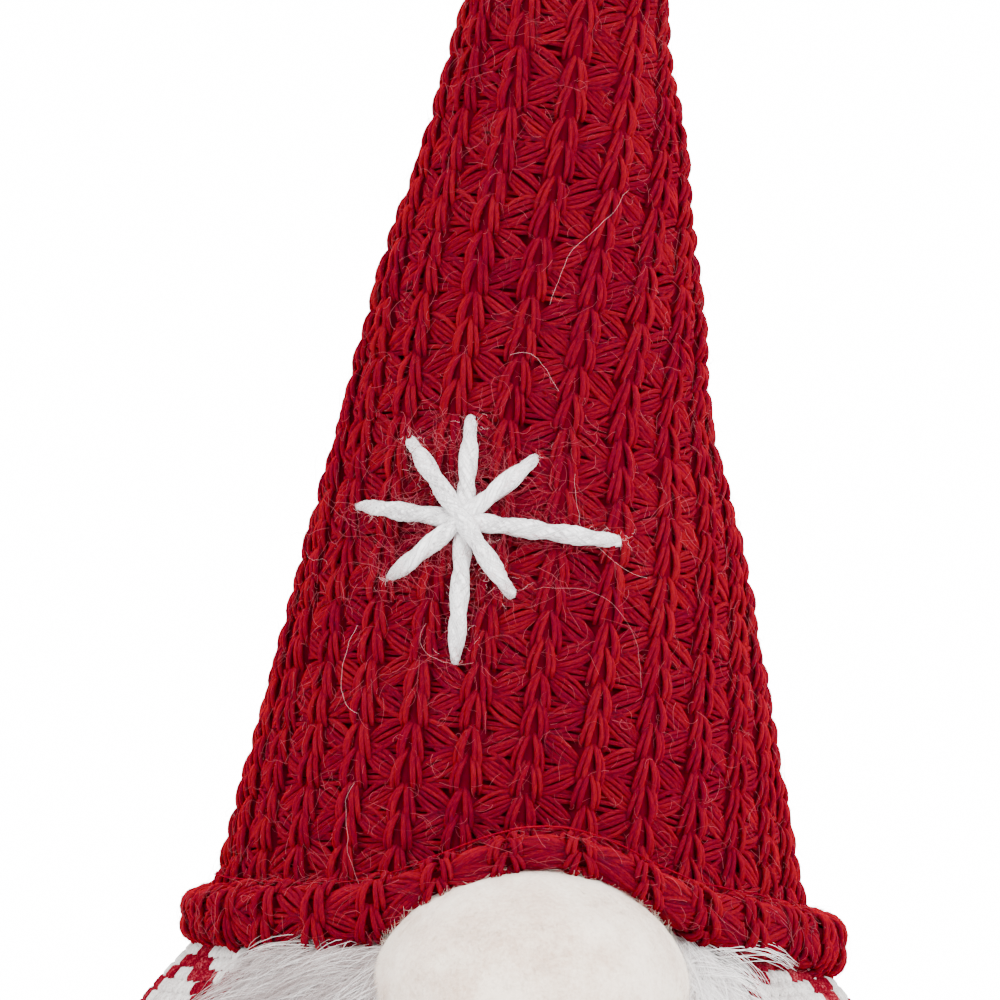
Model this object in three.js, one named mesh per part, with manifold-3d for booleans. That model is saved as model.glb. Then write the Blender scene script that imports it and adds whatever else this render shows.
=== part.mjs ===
// A soft tomte gnome figurine: a weighted fabric body, a stuffed felt nose, a long fur beard and a tall
// knitted hat. A wire inside the hat bends it sideways in two places.
//
// Millimetres. The origin is the centre of the flat underside, +Z is up and the face looks towards -Y.
// The hat is first made upright on its own axis and then leaned over, and the bends are cut through all
// of its layers with balls round the two hinge points, so that each length turns inside its neighbour.

import * as THREE from "three";
import { mergeVertices } from "three/addons/utils/BufferGeometryUtils.js";
import Module from "manifold-3d";

const wasm = await Module();
wasm.setup();

// ---------------------------------------------------------------- driving dimensions

const GAP = 0.3; // clearance between touching pieces
const FAR = 400; // larger than the whole figure

const BODY_RADIUS = 74; // at the widest level
const BODY_WIDEST_Z = 42;
const BODY_SHOULDER_HEIGHT = 81.6; // from the widest level up to where the outline would close
const BODY_SHOULDER_POWER = 1.8; // 2 would be an ellipse; less slopes the shoulders more
const BODY_UNDER_DEPTH = 59; // depth of the ellipse that rounds the body in towards its base
const BODY_SKIN = 2; // thickness of the patterned cloth
const NECK_RADIUS = 9; // the cover is gathered up to this opening

const FELT_THICKNESS = 2;
const BASE_RADIUS = 51;
const BOARD_RADIUS = 46;
const BOARD_THICKNESS = 2;

const HAT_FOOT_Z = 106; // where the cone of the hat starts, inside its rolled edge
const HAT_TOP_Z = 297;
const HAT_FOOT_RADIUS = 46.3;
const HAT_TAPER = 0.218; // radius lost per millimetre of height
const HAT_SKIN = 3.4; // thickness of the knit
const HAT_FOOT_X = 2.2; // the hat sits a little to the right of the body's axis
const HAT_LEAN = 8.5; // even lean to the right over the whole height
const HAT_FLOP = 17.3; // extra lean gathered in the top
const HAT_FLOP_POWER = 6;

const BEND_Z = 200; // hinge points on the hat's axis
const TIP_BEND_Z = 252;
const BALL_RATIO = 1.25; // radius of a bend's ball over the hat's radius at the hinge

const BRIM_RING_RADIUS = 46.6;
const BRIM_Z = 104.8;
const BRIM_ROLL_RADIUS = 4.8;
const BRIM_SAG = 1.6; // the right side hangs this much lower than the middle, the left this much higher
const BRIM_ARCH_HEIGHT = 12.4; // lift over the nose
const BRIM_ARCH_PUSH = 5.6; // forward bulge over the nose
const BRIM_ARCH_THINNING = 0.36; // share of the roll's thickness lost where it stretches over the nose
const BRIM_ARCH_HALF_ANGLE = 0.42; // radians round the hat

const NOSE_CENTRE = new THREE.Vector3(5.2, -47, 95);
const NOSE_RADIUS = 24;
const NOSE_TOP_RADIUS = 19.6; // the hat presses the top of the nose flatter
const NOSE_FELT = 1.6;
const NOSE_GATHER_RADIUS = 6; // hole at the back, where the felt is gathered
const NOSE_GATHER_RING_RADIUS = 4;

const BEARD_BACKING = 1.6;
const BEARD_PILE = 8;
const BEARD_TOP_Z = 103;
const BEARD_CHEEK_Z = 70; // the outline's sides are curves pulled towards these two levels
const BEARD_CHIN_Z = 34;
const BEARD_TIP_Z = 9;
const BEARD_TOP_HALF_WIDTH = 47;
const BEARD_CHEEK_SPREAD = 8; // how far the upper pull lies outside the top's half width
const BEARD_CHIN_DRAW = 14; // how far the lower pull lies inside it
const BEARD_TIP_HALF_WIDTH = 4;
const BEARD_BACKING_INSET = 4; // the fur spreads past the edge of its backing

const WIRE_RADIUS = 1.1;
const WIRE_FOOT_Z = 66; // pushed this deep into the body's stuffing
const WIRE_TOP_Z = HAT_TOP_Z - 9.4;
const SEAM_YARN_RADIUS = 0.8;
const SEAM_FOOT_Z = HAT_FOOT_Z + 6;
const SEAM_TOP_Z = HAT_TOP_Z - 10;
const TIP_TIE_Z = HAT_TOP_Z - 8;
const TIP_ROUNDING = 4; // height over which the top of the hat closes
const THREAD_RADIUS = 0.7;
const STITCH_RADIUS = 1.5; // the white embroidery yarn

const SNOWFLAKE_STITCHES = [
  // each from one end to the other, as [x, z] seen from the front
  [[-13.4, 179.4], [2.7, 155]],
  [[-3.7, 182.7], [-6.1, 144.9]],
  [[6.4, 176.3], [-16.4, 157.6]],
  [[-21.8, 169], [20, 163.3]],
];

const POUCH_RADIUS = 42;
const POUCH_FOOT_ROUNDING = 4;
const POUCH_NECK_RADIUS = 8;
const POUCH_SHOULDER_Z = 20;
const POUCH_NECK_Z = 36;
const POUCH_TOP_Z = 44;
const POUCH_CLOTH = 1.2;

const ROUND_STEPS = 26; // facets round the larger pieces
const SMALL_STEPS = 16; // facets round the smaller ones
const THREAD_SIDES = 6;
const ROLL_SIDES = 8; // round the brim's roll
const BRIM_STEPS = 44; // along it
const OUTLINE_STEPS = 12; // up the body's outline
const HAT_STEPS = 9; // up the hat

// ---------------------------------------------------------------- outlines of the real object

// Outer radius of the body at a height above the base.
function bodyRadius(z) {
  if (z < BODY_WIDEST_Z) {
    const down = (BODY_WIDEST_Z - z) / BODY_UNDER_DEPTH;
    return BODY_RADIUS * Math.sqrt(1 - down * down);
  }
  const up = Math.min((z - BODY_WIDEST_Z) / BODY_SHOULDER_HEIGHT, 1);
  return BODY_RADIUS * (1 - up ** BODY_SHOULDER_POWER) ** (1 / BODY_SHOULDER_POWER);
}

// Height at which the shoulders have narrowed to a radius.
function shoulderHeight(radius) {
  const share = (radius / BODY_RADIUS) ** BODY_SHOULDER_POWER;
  return BODY_WIDEST_Z + BODY_SHOULDER_HEIGHT * (1 - share) ** (1 / BODY_SHOULDER_POWER);
}

const hatRadius = (z) => HAT_FOOT_RADIUS - HAT_TAPER * (z - HAT_FOOT_Z);

// Share of the hat's height, from 0 at its foot to 1 at its top.
const hatShare = (z) => (z - HAT_FOOT_Z) / (HAT_TOP_Z - HAT_FOOT_Z);

// Sideways place and sideways slope of the hat's axis at a height.
function hatAxis(z) {
  const share = Math.max(hatShare(z), 0);
  const x = HAT_FOOT_X + HAT_LEAN * share + HAT_FLOP * share ** HAT_FLOP_POWER;
  const rise = HAT_TOP_Z - HAT_FOOT_Z;
  const slope = (HAT_LEAN + HAT_FLOP * HAT_FLOP_POWER * share ** (HAT_FLOP_POWER - 1)) / rise;
  return { x, tilt: Math.atan(slope) };
}

// A point of the upright hat, carried to where the leaning hat has it.
function leaned(point) {
  const { x, tilt } = hatAxis(point.z);
  return new THREE.Vector3(
    x + point.x * Math.cos(tilt),
    point.y,
    point.z - point.x * Math.sin(tilt),
  );
}

const COVER_TOP_Z = shoulderHeight(NECK_RADIUS + BODY_SKIN);

// ---------------------------------------------------------------- solids

// Moves every vertex of a geometry by a function of its place.
function reshape(geometry, move) {
  const place = geometry.getAttribute("position");
  for (let i = 0; i < place.count; i += 1) {
    const moved = move(new THREE.Vector3().fromBufferAttribute(place, i));
    place.setXYZ(i, moved.x, moved.y, moved.z);
  }
  return geometry;
}

// A closed three.js geometry as a solid that can be joined and cut.
function solid(geometry) {
  const bare = geometry.clone();
  bare.deleteAttribute("normal");
  bare.deleteAttribute("uv");
  const merged = mergeVertices(bare, 1e-4);
  return new wasm.Manifold(
    new wasm.Mesh({
      numProp: 3,
      vertProperties: merged.getAttribute("position").array,
      triVerts: new Uint32Array(merged.index.array),
    }),
  );
}

// A solid of revolution about +Z. The outline is a list of [radius, z] that runs upwards on the outside.
function turned(outline) {
  const points = outline.map(([radius, z]) => new THREE.Vector2(radius, z));
  return new THREE.LatheGeometry(points, ROUND_STEPS).rotateX(Math.PI / 2);
}

// An upright cylinder about +Z.
function cylinder(radius, zFrom, zTo) {
  return turned([[0, zFrom], [radius, zFrom], [radius, zTo], [0, zTo]]);
}

// A point of the body's outline at a height, moved outwards square to the surface.
function bodyPoint(z, outwards) {
  const near = 0.05;
  const slope = (bodyRadius(z + near) - bodyRadius(z - near)) / (2 * near);
  const length = Math.hypot(1, slope);
  return [bodyRadius(z) + outwards / length, z - (outwards * slope) / length];
}

// Everything inside the body's outline grown outwards by a distance.
function insideBody(grown) {
  const wall = [];
  for (let i = 0; i <= OUTLINE_STEPS; i += 1) {
    wall.push(bodyPoint(mix(0, COVER_TOP_Z, i / OUTLINE_STEPS), grown));
  }
  const footZ = wall[0][1];
  const topZ = wall[OUTLINE_STEPS][1];
  return solid(turned([[0, footZ], ...wall, [0, topZ]]));
}

function ball(radius, centre) {
  const geometry = new THREE.SphereGeometry(radius, ROUND_STEPS, ROUND_STEPS / 2);
  return solid(geometry.rotateX(Math.PI / 2).translate(centre.x, centre.y, centre.z));
}

// Everything below a height.
function belowLevel(z) {
  return solid(new THREE.BoxGeometry(FAR, FAR, FAR).translate(0, 0, z - FAR / 2));
}

// The largest of the separate bodies of a solid.
function largest(made) {
  return made.decompose().reduce((most, next) => (next.volume() > most.volume() ? next : most));
}

// A round yarn, thread or wire along a curve whose points are pointAt(share), with share from 0 to 1.
function strand(pointAt, radius, steps) {
  const points = [];
  for (let i = 0; i <= steps; i += 1) {
    points.push(pointAt(i / steps));
  }
  const section = new THREE.Shape();
  section.absarc(0, 0, radius, 0, 2 * Math.PI);
  const extrudePath = new THREE.CatmullRomCurve3(points);
  return solid(new THREE.ExtrudeGeometry(section, { steps, curveSegments: 4, extrudePath }));
}

function mix(from, to, share) {
  return from + (to - from) * share;
}

// A round closed ring about +Z.
function threadRing(ringRadius, z, steps = SMALL_STEPS) {
  return new THREE.TorusGeometry(ringRadius, THREAD_RADIUS, THREAD_SIDES, steps).translate(0, 0, z);
}

// ---------------------------------------------------------------- finishes

function finish(color, roughness, metalness = 0) {
  return { color, roughness, metalness };
}

const RED_KNIT = finish(0xa00f20, 0.95);
const WHITE_YARN = finish(0xf0eeec, 0.9);
const WHITE_FUR = finish(0xe8e4e0, 0.9);
const CREAM_FELT = finish(0xebe3dc, 0.95);
const NORDIC_CLOTH = finish(0xd8b9b6, 0.95);
const RED_FELT = finish(0x8f1020, 0.95);
const STUFFING = finish(0xf4f3ef, 1);
const THREAD = finish(0xe9e4da, 0.8);
const RED_THREAD = finish(0x8c0d1c, 0.8);
const CARD = finish(0xb39a76, 0.9);
const POUCH_COTTON = finish(0xcfc3ae, 0.95);
const PELLETS = finish(0xf2f2f2, 0.5);
const STEEL = finish(0x9a9da0, 0.35, 1);

const figure = new THREE.Group();

function addPiece(name, geometry, look) {
  const mesh = new THREE.Mesh(geometry, new THREE.MeshStandardMaterial(look));
  mesh.name = name;
  figure.add(mesh);
}

// Adds a joined or cut solid.
function addSolid(name, made, look) {
  const { vertProperties, triVerts, numProp } = made.getMesh();
  const geometry = new THREE.BufferGeometry();
  const places = new Float32Array((vertProperties.length / numProp) * 3);
  for (let i = 0; i < places.length / 3; i += 1) {
    places.set(vertProperties.subarray(i * numProp, i * numProp + 3), i * 3);
  }
  geometry.setAttribute("position", new THREE.BufferAttribute(places, 3));
  geometry.setIndex(new THREE.BufferAttribute(new Uint32Array(triVerts), 1));
  geometry.computeVertexNormals();
  addPiece(name, geometry, look);
}

// ---------------------------------------------------------------- base and weight

const BOARD_Z = FELT_THICKNESS + GAP;
const STUFFING_Z = BOARD_Z + BOARD_THICKNESS + GAP;

// Outline of the weight pouch, a low bag whose shoulders run up to a tied neck, drawn in by an inset.
function pouchOutline(inset) {
  const points = [
    [POUCH_RADIUS - POUCH_FOOT_ROUNDING - inset, STUFFING_Z + inset],
    [POUCH_RADIUS - inset, STUFFING_Z + POUCH_FOOT_ROUNDING],
  ];
  const steps = 6;
  for (let i = 0; i < steps; i += 1) {
    const turn = ((Math.PI / 2) * i) / steps;
    const radius = POUCH_NECK_RADIUS + (POUCH_RADIUS - POUCH_NECK_RADIUS) * Math.cos(turn);
    const z = POUCH_SHOULDER_Z + (POUCH_NECK_Z - POUCH_SHOULDER_Z) * Math.sin(turn);
    points.push([radius - inset, z - inset]);
  }
  return points;
}

function addBaseAndWeight() {
  const rounding = 0.8;
  const felt = [
    [0, 0],
    [BASE_RADIUS - rounding, 0],
    [BASE_RADIUS, rounding],
    [BASE_RADIUS, FELT_THICKNESS],
    [0, FELT_THICKNESS],
  ];
  addPiece("base_felt", turned(felt), RED_FELT);

  addPiece("base_board", cylinder(BOARD_RADIUS, BOARD_Z, BOARD_Z + BOARD_THICKNESS), CARD);

  const seamRadius = BASE_RADIUS + 2 * GAP + THREAD_RADIUS;
  addPiece("base_seam_thread", threadRing(seamRadius, FELT_THICKNESS / 2, ROUND_STEPS), RED_THREAD);

  const innerNeck = POUCH_NECK_RADIUS - POUCH_CLOTH;
  const pouch = [
    [0, STUFFING_Z],
    ...pouchOutline(0),
    [POUCH_NECK_RADIUS, POUCH_NECK_Z],
    [POUCH_NECK_RADIUS, POUCH_TOP_Z],
    [innerNeck, POUCH_TOP_Z],
    [innerNeck, POUCH_NECK_Z - POUCH_CLOTH],
    ...pouchOutline(POUCH_CLOTH).reverse(),
    [0, STUFFING_Z + POUCH_CLOTH],
  ];
  addPiece("weight_pouch", turned(pouch), POUCH_COTTON);

  const inset = POUCH_CLOTH + GAP;
  const fill = [[0, STUFFING_Z + inset], ...pouchOutline(inset), [0, POUCH_NECK_Z - inset]];
  addPiece("pellet_fill", turned(fill), PELLETS);

  const tieRadius = POUCH_NECK_RADIUS + GAP + THREAD_RADIUS;
  addPiece("pouch_tie", threadRing(tieRadius, POUCH_TOP_Z - 2), THREAD);
}

// ---------------------------------------------------------------- body

function addBody() {
  const bodyShell = insideBody(0).subtract(insideBody(-BODY_SKIN));
  const neck = solid(cylinder(NECK_RADIUS, COVER_TOP_Z - NECK_RADIUS, COVER_TOP_Z + GAP));
  const cover = bodyShell.subtract(neck).subtract(belowLevel(FELT_THICKNESS + GAP));
  addSolid("body_cover", cover, NORDIC_CLOTH);

  const tieRadius = NECK_RADIUS + BODY_SKIN;
  const tieZ = COVER_TOP_Z + GAP + THREAD_RADIUS;
  addPiece("neck_tie", threadRing(tieRadius, tieZ), THREAD);

  const filled = insideBody(-BODY_SKIN - GAP).subtract(belowLevel(STUFFING_Z));
  const tieOutside = POUCH_NECK_RADIUS + 2 * (GAP + THREAD_RADIUS);
  const pouchRoom = [
    [0, STUFFING_Z - 1],
    [POUCH_RADIUS + GAP, STUFFING_Z - 1],
    ...pouchOutline(-GAP).slice(1),
    [tieOutside, POUCH_NECK_Z + GAP],
    [tieOutside, POUCH_TOP_Z + GAP],
    [0, POUCH_TOP_Z + GAP],
  ];
  const stuffing = filled.subtract(solid(turned(pouchRoom))).subtract(wireSolid(GAP));
  addSolid("body_stuffing", stuffing, STUFFING);
}

// ---------------------------------------------------------------- nose

// The nose grown outwards by a distance: a ball whose upper half is pressed flatter.
function noseSolid(grown) {
  const radius = NOSE_RADIUS + grown;
  const topSquash = (NOSE_TOP_RADIUS + grown) / radius;
  const ballShape = new THREE.SphereGeometry(radius, ROUND_STEPS, ROUND_STEPS / 2).rotateX(Math.PI / 2);
  const pressed = reshape(ballShape, (p) => new THREE.Vector3(p.x, p.y, p.z > 0 ? p.z * topSquash : p.z));
  return solid(pressed.translate(NOSE_CENTRE.x, NOSE_CENTRE.y, NOSE_CENTRE.z));
}

// Turns a piece made about +Z so that it stands square on the body's front behind the nose.
function setBehindNose(geometry, height) {
  const around = Math.asin(NOSE_CENTRE.x / bodyRadius(NOSE_CENTRE.z));
  const [radius, z] = bodyPoint(NOSE_CENTRE.z, height);
  const [footRadius, footZ] = bodyPoint(NOSE_CENTRE.z, 0);
  const tilt = Math.atan2(radius - footRadius, z - footZ);
  geometry.rotateX(tilt);
  geometry.rotateZ(around);
  return geometry.translate(radius * Math.sin(around), -radius * Math.cos(around), z);
}

const NOSE_STANDOFF = BEARD_BACKING + 2 * GAP; // the nose is sewn on over the beard's backing

function addNose() {
  const holeDepth = 8;
  const hole = new THREE.CylinderGeometry(NOSE_GATHER_RADIUS, NOSE_GATHER_RADIUS, holeDepth, SMALL_STEPS);
  const gather = solid(setBehindNose(hole.rotateX(Math.PI / 2), NOSE_STANDOFF));
  const outside = noseSolid(0).subtract(insideBody(NOSE_STANDOFF));
  const room = noseSolid(-NOSE_FELT).subtract(insideBody(NOSE_STANDOFF + NOSE_FELT));
  addSolid("nose_cover", outside.subtract(room).subtract(gather), CREAM_FELT);

  const inset = NOSE_FELT + GAP;
  const filling = noseSolid(-inset).subtract(insideBody(NOSE_STANDOFF + inset + GAP));
  addSolid("nose_stuffing", filling, STUFFING);

  const threadHeight = NOSE_STANDOFF + THREAD_RADIUS;
  addPiece("nose_gather_thread", setBehindNose(threadRing(NOSE_GATHER_RING_RADIUS, 0), threadHeight), THREAD);
}

// ---------------------------------------------------------------- brim of the hat

// The rolled edge of the hat, grown by a distance: a ring that rises, bulges and thins over the nose.
function brimRing(grown) {
  const ring = new THREE.TorusGeometry(BRIM_RING_RADIUS, BRIM_ROLL_RADIUS, ROLL_SIDES, BRIM_STEPS);
  const rolled = reshape(ring, (p) => {
    const around = Math.atan2(p.x - NOSE_CENTRE.x, -p.y);
    const arch = Math.exp(-((around / BRIM_ARCH_HALF_ANGLE) ** 2));
    const across = Math.hypot(p.x, p.y) - BRIM_RING_RADIUS;
    const thickness = 1 - BRIM_ARCH_THINNING * arch + grown / BRIM_ROLL_RADIUS;
    const radius = BRIM_RING_RADIUS + across * thickness + BRIM_ARCH_PUSH * arch;
    const scale = radius / Math.hypot(p.x, p.y);
    const rightness = p.x / BRIM_RING_RADIUS;
    const z = BRIM_Z + p.z * thickness + BRIM_ARCH_HEIGHT * arch - BRIM_SAG * rightness;
    return new THREE.Vector3(HAT_FOOT_X + p.x * scale, p.y * scale, z);
  });
  return solid(rolled);
}

function addBrim() {
  const clearOfBody = brimRing(0).subtract(insideBody(NOSE_STANDOFF));
  addSolid("hat_brim", clearOfBody.subtract(noseSolid(GAP)), RED_KNIT);
}

// ---------------------------------------------------------------- beard

// Everything in front of the body that lies inside the beard's outline seen from the front.
function beardWindow(grown) {
  const half = BEARD_TOP_HALF_WIDTH + grown;
  const cheek = half + BEARD_CHEEK_SPREAD;
  const chin = half - BEARD_CHIN_DRAW;
  const tip = BEARD_TIP_HALF_WIDTH;
  const tipZ = BEARD_TIP_Z - grown;
  const outline = new THREE.Shape();
  outline.moveTo(-half, BEARD_TOP_Z);
  outline.lineTo(half, BEARD_TOP_Z);
  outline.bezierCurveTo(cheek, BEARD_CHEEK_Z, chin, BEARD_CHIN_Z, tip, tipZ);
  outline.lineTo(-tip, tipZ);
  outline.bezierCurveTo(-chin, BEARD_CHIN_Z, -cheek, BEARD_CHEEK_Z, -half, BEARD_TOP_Z);
  const front = new THREE.ExtrudeGeometry(outline, { depth: FAR, bevelEnabled: false, curveSegments: 6 });
  return solid(front.rotateX(Math.PI / 2));
}

function addBeard() {
  const backing = insideBody(GAP + BEARD_BACKING).subtract(insideBody(GAP));
  addSolid("beard_backing", backing.intersect(beardWindow(-BEARD_BACKING_INSET)), WHITE_FUR);

  const pile = insideBody(NOSE_STANDOFF + BEARD_PILE).subtract(insideBody(NOSE_STANDOFF));
  const shaped = pile.intersect(beardWindow(0)).subtract(brimRing(GAP)).subtract(noseSolid(GAP));
  addSolid("beard_pile", largest(shaped), WHITE_FUR);
}

// ---------------------------------------------------------------- hat

// A cone from the hat's foot to its rounded top, drawn in by an inset.
function hatCone(inset, footZ) {
  const topZ = HAT_TOP_Z - inset;
  const shoulderZ = topZ - TIP_ROUNDING;
  const wall = [];
  for (let i = 0; i <= HAT_STEPS; i += 1) {
    const z = mix(footZ, shoulderZ, i / HAT_STEPS);
    wall.push([hatRadius(z) - inset, z]);
  }
  const nearTop = [(hatRadius(shoulderZ) - inset) / 2, topZ - TIP_ROUNDING / 4];
  return solid(reshape(turned([[0, footZ], ...wall, nearTop, [0, topZ]]), leaned));
}

// The bendable wire, grown by a distance, from its foot in the body to the top of the hat.
function wireSolid(grown) {
  const axisPoint = (share) => {
    const z = mix(WIRE_FOOT_Z - grown, WIRE_TOP_Z + grown, share);
    return leaned(new THREE.Vector3(0, 0, z));
  };
  return strand(axisPoint, WIRE_RADIUS + grown, 20);
}

// The yarn that closes the hat's back seam.
function seamSolid() {
  const seamPoint = (share) => {
    const z = mix(SEAM_FOOT_Z, SEAM_TOP_Z, share);
    return leaned(new THREE.Vector3(0, hatRadius(z) + GAP + SEAM_YARN_RADIUS, z));
  };
  return strand(seamPoint, SEAM_YARN_RADIUS, 18);
}

// The part of space that stays below a bend: all below the hinge point, and a ball round it.
function belowBend(z, grown) {
  const hinge = leaned(new THREE.Vector3(0, 0, z));
  const socket = ball(BALL_RATIO * hatRadius(z) + grown, hinge);
  return socket.add(belowLevel(hinge.z));
}

// Cuts one layer of the hat into its three lengths and adds them.
function addHatLayer(name, whole, look) {
  const aboveFirst = whole.subtract(belowBend(BEND_Z, GAP / 2));
  addSolid(`${name}_lower`, largest(whole.intersect(belowBend(BEND_Z, -GAP / 2))), look);
  addSolid(`${name}_middle`, aboveFirst.intersect(belowBend(TIP_BEND_Z, -GAP / 2)), look);
  addSolid(`${name}_tip`, aboveFirst.subtract(belowBend(TIP_BEND_Z, GAP / 2)), look);
}

function addHat() {
  const knit = hatCone(0, HAT_FOOT_Z).subtract(hatCone(HAT_SKIN, HAT_FOOT_Z - GAP));
  addHatLayer("hat_knit", knit.subtract(brimRing(GAP)).subtract(noseSolid(GAP)), RED_KNIT);

  const tieRoom = 2 * (GAP + THREAD_RADIUS) + GAP;
  const filling = hatCone(HAT_SKIN + GAP, HAT_FOOT_Z).subtract(insideBody(tieRoom));
  const clear = filling.subtract(wireSolid(GAP)).subtract(brimRing(GAP)).subtract(noseSolid(GAP));
  addHatLayer("hat_stuffing", clear, STUFFING);
  addHatLayer("hat_wire", wireSolid(0), STEEL);
  addHatLayer("hat_seam_yarn", seamSolid(), RED_THREAD);

  const tie = threadRing(hatRadius(TIP_TIE_Z) + 2 * GAP + THREAD_RADIUS, TIP_TIE_Z);
  addPiece("hat_tip_tie", reshape(tie, leaned), RED_THREAD);
}

// ---------------------------------------------------------------- snowflake

// A point just in front of the hat, at a place seen from the front.
function onHatFront(x, z) {
  const across = x - hatAxis(z).x;
  const reach = hatRadius(z) + 2 * GAP + STITCH_RADIUS;
  return new THREE.Vector3(x, -Math.sqrt(reach * reach - across * across), z);
}

// One straight stitch laid over the curve of the hat.
function stitch([xFrom, zFrom], [xTo, zTo]) {
  const pointAt = (share) => onHatFront(mix(xFrom, xTo, share), mix(zFrom, zTo, share));
  return strand(pointAt, STITCH_RADIUS, 8);
}

function addSnowflake() {
  const yarn = SNOWFLAKE_STITCHES.map(([from, to]) => stitch(from, to));
  addSolid("snowflake_yarn", yarn.reduce((joined, next) => joined.add(next)), WHITE_YARN);
}

addBaseAndWeight();
addBody();
addBeard();
addNose();
addBrim();
addHat();
addSnowflake();

export default figure;
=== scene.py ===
"""Looks of a soft tomte gnome figurine, built over its solid model.

Every length below is in millimetres, and becomes metres only where a mesh is made. The origin is the centre
of the flat underside, +Z is up and the face looks towards -Y. An angle about the figure is 0 at the front and
grows towards +X.
"""

import math

import bmesh
import bpy
import numpy as np
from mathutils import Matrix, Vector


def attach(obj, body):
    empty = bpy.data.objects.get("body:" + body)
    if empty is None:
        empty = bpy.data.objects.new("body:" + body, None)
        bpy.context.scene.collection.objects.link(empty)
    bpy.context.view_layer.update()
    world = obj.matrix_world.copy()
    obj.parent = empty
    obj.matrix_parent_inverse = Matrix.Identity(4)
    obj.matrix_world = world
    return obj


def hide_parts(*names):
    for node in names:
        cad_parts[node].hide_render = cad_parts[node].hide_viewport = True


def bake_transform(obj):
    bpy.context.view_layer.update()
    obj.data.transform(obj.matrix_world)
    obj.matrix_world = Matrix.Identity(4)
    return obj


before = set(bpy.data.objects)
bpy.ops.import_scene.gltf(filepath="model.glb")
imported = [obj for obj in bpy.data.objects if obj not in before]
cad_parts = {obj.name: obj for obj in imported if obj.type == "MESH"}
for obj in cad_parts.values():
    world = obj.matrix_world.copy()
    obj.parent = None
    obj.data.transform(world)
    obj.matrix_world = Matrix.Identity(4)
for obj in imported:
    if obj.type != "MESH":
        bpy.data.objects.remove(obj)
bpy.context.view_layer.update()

MM = 0.001
TURN = 2 * math.pi
LEVEL = (1, 1, 0)  # times a direction, leaves its level part

# ---------------------------------------------------------------- driving dimensions, as in the solid model

BODY_RADIUS = 74
BODY_WIDEST_Z = 42
BODY_SHOULDER_HEIGHT = 81.6
BODY_SHOULDER_POWER = 1.8
BODY_UNDER_DEPTH = 59
BASE_RADIUS = 51
FELT_THICKNESS = 2

HAT_FOOT_Z = 106
HAT_TOP_Z = 297
HAT_FOOT_RADIUS = 46.3
HAT_TAPER = 0.218
HAT_FOOT_X = 2.2
HAT_LEAN = 8.5
HAT_FLOP = 17.3
HAT_FLOP_POWER = 6
HAT_WAIST_Z = 182  # the stuffing is a little slack here
HAT_WAIST_DEPTH = 0.8
HAT_WAIST_REACH = 12
HAT_SWAYS = ((1.0, 226, 14), (-0.8, HAT_WAIST_Z, 10))  # how far sideways, at what height, over what reach
HAT_APEX_Z = HAT_FOOT_Z + HAT_FOOT_RADIUS / HAT_TAPER
HAT_SIN = math.sin(math.atan(HAT_TAPER))
HAT_COS = math.cos(math.atan(HAT_TAPER))

BRIM_RING_RADIUS = 46.6
BRIM_Z = 104.8
BRIM_ROLL_RADIUS = 4.8
BRIM_SAG = 1.6
BRIM_SQUARENESS = 2.7  # the roll is a little flatter than round
BRIM_ARCH_HEIGHT = 12.4
BRIM_ARCH_PUSH = 5.6
BRIM_ARCH_THINNING = 0.36
BRIM_ARCH_HALF_ANGLE = 0.42
BRIM_LEFT = -1.55
BRIM_RIGHT = 1.6
# How far the roll rises, how much fuller it is, and where it is taller: each a size, an angle and a reach.
BRIM_WAVES = ((1.2, 0.8, 0.35), (-0.8, -0.6, 0.3), (-1.0, BRIM_LEFT, 0.5), (-2.8, BRIM_RIGHT, 0.5))
BRIM_FULLNESS = ((0.8, BRIM_RIGHT, 0.5), (-0.4, BRIM_LEFT, 0.5))
BRIM_TALL_PLACE = ((1.0, -0.68, 0.42),)
BRIM_TALL_LIFT = 0.4
BRIM_TALL_SHARE = 0.34
BRIM_TOP_TURN = math.radians(118)  # the roll starts here, in the crease under the hat
BRIM_RELIEF = 0.75  # the knitting is stretched flatter round the roll

NOSE_CENTRE = np.array([5.2, -47, 95])
NOSE_RADIUS = 24
NOSE_TOP_RADIUS = 19.6
NOSE_STANDOFF = 2.2

BEARD_TOP_HALF_WIDTH = 47
BEARD_TOP_Z = 103
BEARD_TIP_Z = 9

WIRE_FOOT_Z = 66
WIRE_TOP_Z = HAT_TOP_Z - 9.4
WIRE_RADIUS = 1.1
SEAM_FOOT_Z = HAT_FOOT_Z + 6
SEAM_TOP_Z = HAT_TOP_Z - 10
SEAM_YARN_RADIUS = 0.5
SEAM_YARN_TWIST = 7
SEAM_STITCH_RADIUS = 0.42
SEAM_STITCH_PITCH = 5.2
TIP_TIE_Z = HAT_TOP_Z - 8

# The two ends of each stitch, as x and z.
SNOWFLAKE_STITCHES = [
    [(-3.7, 182.7), (-6.1, 144.9)],
    [(-21.8, 169), (20, 163.3)],
    [(6.4, 176.3), (-16.4, 157.6)],
    [(-13.4, 179.4), (2.7, 155)],
]
SNOWFLAKE_MIDDLE = (-5.3, 165.5)

# A height where the soft layers are split into lengths, and two levels on the hat's axis for each length.
SPLIT_Z = 231
LOWER_BEND = (184, 230)
UPPER_BEND = (232, 280)

# ---------------------------------------------------------------- knitting

WALE_SPACING = 9.5  # between neighbouring ribs
WALE_START_ANGLE = math.radians(-24)  # the rib that runs straight down the cone
WALES = np.arange(-14, 18)  # enough to go all round the cone
ROWS = np.arange(-34, 14)
ROW_PITCH = 4.8
ROW_UNEVENNESS = 0.35  # every second row is this much lower
ROW_START = 165.1  # one row's distance from the cone's apex
BRIM_ROWS = np.arange(5)
BRIM_ROW_PITCH = 4.6
SEAM_TUCK = 1.6  # how far the knitting turns in at its back seam
SEAM_TUCK_REACH = 2.2

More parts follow.
